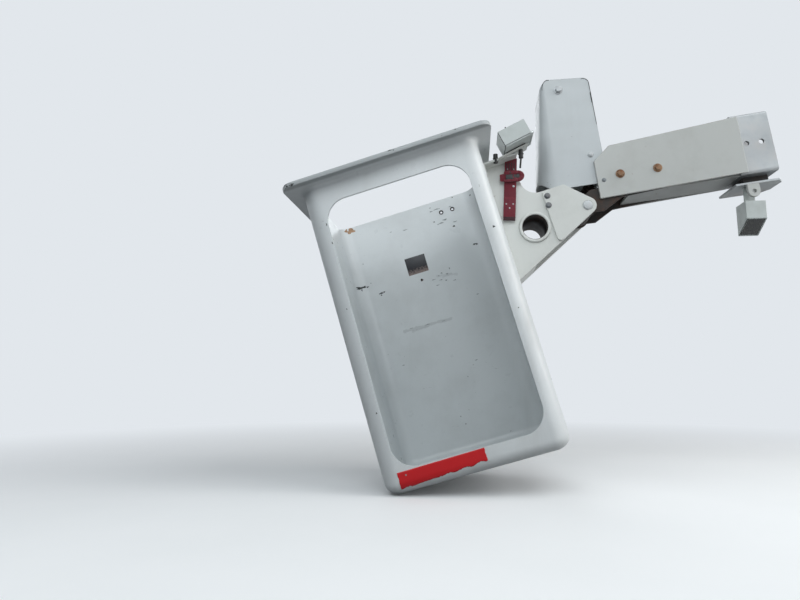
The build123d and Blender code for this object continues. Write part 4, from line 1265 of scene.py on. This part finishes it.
def make_strap_keeper():
    """Bulky band with two raised edges and a loop, and black ribs; black pieces in its middle and inside its loop
    are painted shade of the recess and of the loop's hollow.
    """
    away = Vector((-math.sin(STRAP_TURN), 0, -math.cos(STRAP_TURN))) * KEEPER_AT
    place = STRAP_TOP @ Matrix.Translation(away + Vector((0.003, -0.0043, 0)))
    place = place @ Matrix.Rotation(KEEPER_TURN, 4, "Y")
    bm = bmesh.new()
    band = block(bm, (-0.041, -0.0056, -0.0200), (0.016, 0, 0.0200))
    for v in band:
        if v.co.x < 0:
            v.co.z = v.co.z * 0.62 - 0.003
    bevel_edges(bm, edges_of(band), 0.0016, 3)
    block(bm, (-0.026, -0.0092, 0.0066), (KEEPER_LOOP, -0.0040, 0.0196), 0.0024, 3)
    block(bm, (-0.028, -0.0090, -0.0206), (KEEPER_LOOP, -0.0040, -0.0110), 0.0024, 3)
    loop = ring(bm, (KEEPER_LOOP, -0.0042, 0), (0, 1, 0), 0.0138, 0.0074, 28)
    middle = Matrix.Translation((-KEEPER_LOOP, 0.0038, 0))
    bmesh.ops.scale(bm, vec=(1.15, 0.55, 1.0), space=middle, verts=loop)
    settle(bm, "Strap_Keeper", place, "bucket", "strap", ("strap_keeper",))
    bm = bmesh.new()
    # Black block in the band's middle: painted shade of its recess
    block(bm, (-0.020, -0.0078, -0.0112), (0.014, -0.0044, 0.0068), 0.0010, 2)
    # Black disc inside the loop: painted shade of the loop's hollow
    rod(bm, (KEEPER_LOOP, -0.0012, 0), (KEEPER_LOOP, -0.0062, 0), 0.0080, 24, 0.0006)
    rod(bm, (-0.003, -0.0080, 0.0120), (-0.003, -0.0096, 0.0120), 0.0034, 20, 0.0004)
    for x in (-0.0135, -0.0045, 0.0045, 0.0135):
        block(bm, (x - 0.0013, -0.0002, 0.026), (x + 0.0013, 0.0021, 0.052), 0.0005, 2)
    settle(bm, "Keeper_Shade_And_Ribs", place, "bucket", "black")


def dress_all(pieces):
    for node, name, material, width, face in pieces:
        dress(node, name, material, width, face=face)


def bolts_on(points, face, size, name, place, body, material, height):
    """Hex bolts on both outer faces of a pair of plates."""
    bm = bmesh.new()
    for i, (x, z) in enumerate(points):
        for side in (-1, 1):
            hex_bolt(bm, (x, side * face, z), (0, side, 0), size, 0.4 + 1.1 * i, height)
    settle(bm, name, place, body, material)


def tip_bolts(points, face, size, name, material, height=FULL_HEAD):
    bolts_on(points, face, size, name, TIP_AT_PIVOT, "boom_tip", material, height)


TUBE_X, TUBE_Z = -0.198, -0.019      # torque tube's axis, from the pivot
# Sleeve of dark iron in the torque tube's bore, as painted shade
SHADE_LINING_REACH, SHADE_LINING_RADIUS, SHADE_LINING_SIDES = 0.1045, 0.0449, 64


def make_tube_shade_lining():
    """Dark iron sleeve inside the torque tube: painted shade that stands for the shadow deep in its bore."""
    bm = bmesh.new()
    rod(bm, (TUBE_X, -SHADE_LINING_REACH, TUBE_Z), (TUBE_X, SHADE_LINING_REACH, TUBE_Z), SHADE_LINING_RADIUS, SHADE_LINING_SIDES)
    ends = [f for f in bm.faces if len(f.verts) == SHADE_LINING_SIDES]
    bmesh.ops.delete(bm, geom=ends, context="FACES_ONLY")
    shade_lining = settle(bm, "Tube_Shade_Lining", BRACKET, "bucket", "iron")
    wall = shade_lining.modifiers.new("Wall", "SOLIDIFY")
    wall.thickness = 0.0012
    wall.offset = -1.0


def make_bracket():
    """The bracket's plates with their bolts, the pivot pin and the torque tube."""
    dress_all(BRACKET_PIECES)
    make_pivot_pin()
    bolts_on(ARM_BOLTS, ARM_FACE, 0.0085, "Arm_Bolts", BRACKET, "bucket", "weathered", FULL_HEAD)
    make_tube_shade_lining()


def make_tip():
    """The boom tip's plates and socket, with the bolts on its cheeks."""
    dress_all(TIP_PIECES)
    tip_bolts(CHEEK_BOLTS, CHEEK_FACE, 0.012, "Cheek_Bolts", "bolt")
    tip_bolts(CHEEK_STUDS, CHEEK_FACE, 0.006, "Cheek_Studs", "weathered", 0.45)


def make_levelling():
    """The levelling linkage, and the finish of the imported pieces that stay."""
    dress_all(LEVEL_PIECES)
    for node, material in KEPT_NODES.items():
        mesh = frame["nodes"][node].data
        mesh.materials.clear()
        mesh.materials.append(MATERIALS[material])
        smooth(mesh)


# Stage

BACKDROP = tone(226, 231, 236)
FLOOR_GAP = 0.004
FADE_FROM, FADE_TO = 0.9, 3.8          # where the floor turns into the backdrop, from the middle

# Name, place, point it aims at, diameter, watts, colour
LAMPS = [
    ("Front", (-1.0, -3.4, 2.0), (-0.85, 0, -0.4), 3.0, 66.0, (0.91, 0.97, 1.0)),
    ("Side", (3.4, -0.4, 1.2), (-0.85, 0, -0.4), 3.0, 98.0, (1.0, 0.99, 0.97)),
    ("Back", (-1.8, 3.2, 2.0), (-0.85, 0, -0.4), 3.0, 28.0, (0.94, 0.98, 1.0)),
    ("Low", (2.4, -2.8, 0.3), (-0.95, 0, -0.6), 2.4, 32.0, (0.95, 0.98, 1.0)),
    ("Left", (-3.4, -2.4, 1.2), (-0.85, 0, -0.6), 3.0, 26.0, (0.91, 0.97, 1.0)),
    ("Key", (1.5, -1.6, 3.6), (-0.85, 0, -0.4), 3.0, 60.0, (0.96, 0.99, 1.0)),
]

# The photograph's view: low, close and looking up
CAMERA_PLACE = (-1.052, -2.167, -0.842)
CAMERA_TILT, CAMERA_PAN = 98.11, 7.04      # degrees, from straight down and to the left
CAMERA_LENS, CAMERA_SENSOR = 26.3, 36.0    # millimetres


def ray_seen(g):
    """The light path's outputs, and one for rays that show a thing directly or by reflection."""
    path = g.node("ShaderNodeLightPath").outputs
    return path, g.math("MAXIMUM", path["Is Camera Ray"], path["Is Glossy Ray"])


def make_world():
    """Pale backdrop that gives only a little light of its own."""
    world = bpy.data.worlds.new("Studio")
    bpy.context.scene.world = world
    world.use_nodes = True
    g = Graph(world.node_tree)
    sky = world.node_tree.nodes["Background"]
    g.join(BACKDROP, sky.inputs["Color"])
    path, seen = ray_seen(g)
    seen = g.math("MAXIMUM", seen, path["Is Transmission Ray"])
    g.join(g.ramp(seen, 0.0, 1.0, 0.14, 1.0), sky.inputs["Strength"])


def make_floor():
    """Round floor that fades into the backdrop, and looks darker to the light that it sends back."""
    middle = (CAD_BOX[0] + CAD_BOX[1]) / 2
    middle.z = CAD_BOX[0].z - FLOOR_GAP
    bm = bmesh.new()
    bmesh.ops.create_circle(bm, cap_ends=True, segments=96, radius=40.0)
    bm.transform(Matrix.Translation(middle))
    mesh = bpy.data.meshes.new("Floor")
    bm.to_mesh(mesh)
    bm.free()
    floor = bpy.data.objects.new("Floor", mesh)
    bpy.context.scene.collection.objects.link(floor)
    material, g, shader = new_material("Studio floor")
    path, seen = ray_seen(g)
    pale = g.mix(g.noise(3.0, 5.0), tone(244, 246, 247), tone(250, 251, 252))
    g.join(g.mix(seen, tone(100, 102, 104), pale), shader["Base Color"])
    g.join(0.75, shader["Roughness"])
    away = g.node("ShaderNodeMapRange", clamp=True, interpolation_type="SMOOTHSTEP")
    apart = g.vector("DISTANCE", g.place(), middle)
    for socket, value in zip(away.inputs, (apart, FADE_FROM, FADE_TO, 0.0, 1.0)):
        g.join(value, socket)
    glow = g.node("ShaderNodeEmission")
    g.join(BACKDROP, glow.inputs["Color"])
    blend = g.node("ShaderNodeMixShader")
    nodes = material.node_tree.nodes
    g.join(g.math("MULTIPLY", away.outputs[0], path["Is Camera Ray"]), blend.inputs[0])
    g.join(nodes["Principled BSDF"].outputs[0], blend.inputs[1])
    g.join(glow.outputs[0], blend.inputs[2])
    g.join(blend.outputs[0], nodes["Material Output"].inputs["Surface"])
    mesh.materials.append(material)


def make_lamps():
    """Round area lamps, each turned to the point it aims at."""
    for name, place, aim, size, power, colour in LAMPS:
        lamp = bpy.data.lights.new(name, "AREA")
        lamp.shape = "DISK"
        lamp.size = size
        lamp.energy = power
        lamp.color = colour
        made = bpy.data.objects.new(name, lamp)
        made.location = place
        made.rotation_euler = (Vector(aim) - Vector(place)).to_track_quat("-Z", "Y").to_euler()
        bpy.context.scene.collection.objects.link(made)


def make_camera():
    """Camera at the photographer's place."""
    lens = bpy.data.cameras.new("Camera")
    lens.lens = CAMERA_LENS
    lens.sensor_width = CAMERA_SENSOR
    made = bpy.data.objects.new("Camera", lens)
    made.location = CAMERA_PLACE
    made.rotation_euler = (math.radians(CAMERA_TILT), 0.0, math.radians(CAMERA_PAN))
    bpy.context.scene.collection.objects.link(made)
    bpy.context.scene.camera = made


# Operators


class BUCKET_OT_materials(bpy.types.Operator):
    """Makes the finishes and their shared shader groups"""

    bl_idname = "bucket.materials"
    bl_label = "Finishes"

    def execute(self, context):
        make_groups()
        make_materials(context.scene.bucket_sizes, context.scene.bucket_finish)
        return {"FINISHED"}


class BUCKET_OT_moulding(bpy.types.Operator):
    """Makes the moulded bucket with its strip, label and screw"""

    bl_idname = "bucket.moulding"
    bl_label = "Bucket"

    def execute(self, context):
        sizes = context.scene.bucket_sizes
        make_bucket(sizes)
        make_red_strip(sizes)
        make_bucket_trim(sizes)
        make_chips(sizes)
        return {"FINISHED"}


class BUCKET_OT_bracket(bpy.types.Operator):
    """Makes the bracket that carries the bucket"""

    bl_idname = "bucket.bracket"
    bl_label = "Bracket"

    def execute(self, context):
        make_bracket()
        return {"FINISHED"}


class BUCKET_OT_console(bpy.types.Operator):
    """Makes the console with its lid and levers"""

    bl_idname = "bucket.console"
    bl_label = "Console"

    def execute(self, context):
        make_console()
        return {"FINISHED"}


class BUCKET_OT_strap(bpy.types.Operator):
    """Makes the strap with its keeper"""

    bl_idname = "bucket.strap"
    bl_label = "Strap"

    def execute(self, context):
        make_strap()
        make_strap_trim()
        make_strap_keeper()
        return {"FINISHED"}


class BUCKET_OT_tip(bpy.types.Operator):
    """Makes the boom tip"""

    bl_idname = "bucket.tip"
    bl_label = "Boom tip"

    def execute(self, context):
        make_tip()
        return {"FINISHED"}


class BUCKET_OT_cover(bpy.types.Operator):
    """Makes the tall cover over the pivot, with its seams and bolts"""

    bl_idname = "bucket.cover"
    bl_label = "Tip cover"

    def execute(self, context):
        make_cover()
        make_cover_seams()
        tip_bolts(UPPER_COVER_BOLTS, COVER_FACE, 0.0125, "Upper_Cover_Bolts", "zinc")
        tip_bolts(LOWER_COVER_BOLTS, COVER_FACE, 0.0090, "Lower_Cover_Bolts", "zinc", 0.5)
        return {"FINISHED"}


class BUCKET_OT_levelling(bpy.types.Operator):
    """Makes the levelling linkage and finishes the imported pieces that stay"""

    bl_idname = "bucket.levelling"
    bl_label = "Levelling"

    def execute(self, context):
        make_levelling()
        return {"FINISHED"}


class BUCKET_OT_stage(bpy.types.Operator):
    """Makes the floor, the light and the camera"""

    bl_idname = "bucket.stage"
    bl_label = "Stage"

    def execute(self, context):
        context.scene.view_settings.view_transform = "Standard"
        make_world()
        make_floor()
        make_lamps()
        make_camera()
        return {"FINISHED"}


STEPS = [
    BUCKET_OT_stage, BUCKET_OT_materials, BUCKET_OT_moulding, BUCKET_OT_bracket, BUCKET_OT_console,
    BUCKET_OT_strap, BUCKET_OT_tip, BUCKET_OT_cover, BUCKET_OT_levelling,
]


class BUCKET_PT_panel(bpy.types.Panel):
    """Lists the steps, sizes and finishes"""

    bl_label = "Work platform bucket"
    bl_idname = "BUCKET_PT_panel"
    bl_space_type = "VIEW_3D"
    bl_region_type = "UI"
    bl_category = "Bucket"

    def draw(self, context):
        for group in (context.scene.bucket_sizes, context.scene.bucket_finish):
            box = self.layout.box()
            for name in group.__annotations__:
                box.prop(group, name)
        for step in STEPS:
            self.layout.operator(step.bl_idname)


CLASSES = [BucketSizes, BucketFinish, *STEPS, BUCKET_PT_panel]


def register():
    for each in CLASSES:
        bpy.utils.register_class(each)
    bpy.types.Scene.bucket_sizes = PointerProperty(type=BucketSizes)
    bpy.types.Scene.bucket_finish = PointerProperty(type=BucketFinish)


def unregister():
    del bpy.types.Scene.bucket_finish
    del bpy.types.Scene.bucket_sizes
    for each in reversed(CLASSES):
        bpy.utils.unregister_class(each)


def main():
    register()
    for step in STEPS:
        getattr(bpy.ops.bucket, step.bl_idname.split(".")[1])()


if __name__ == "__main__":
    main()
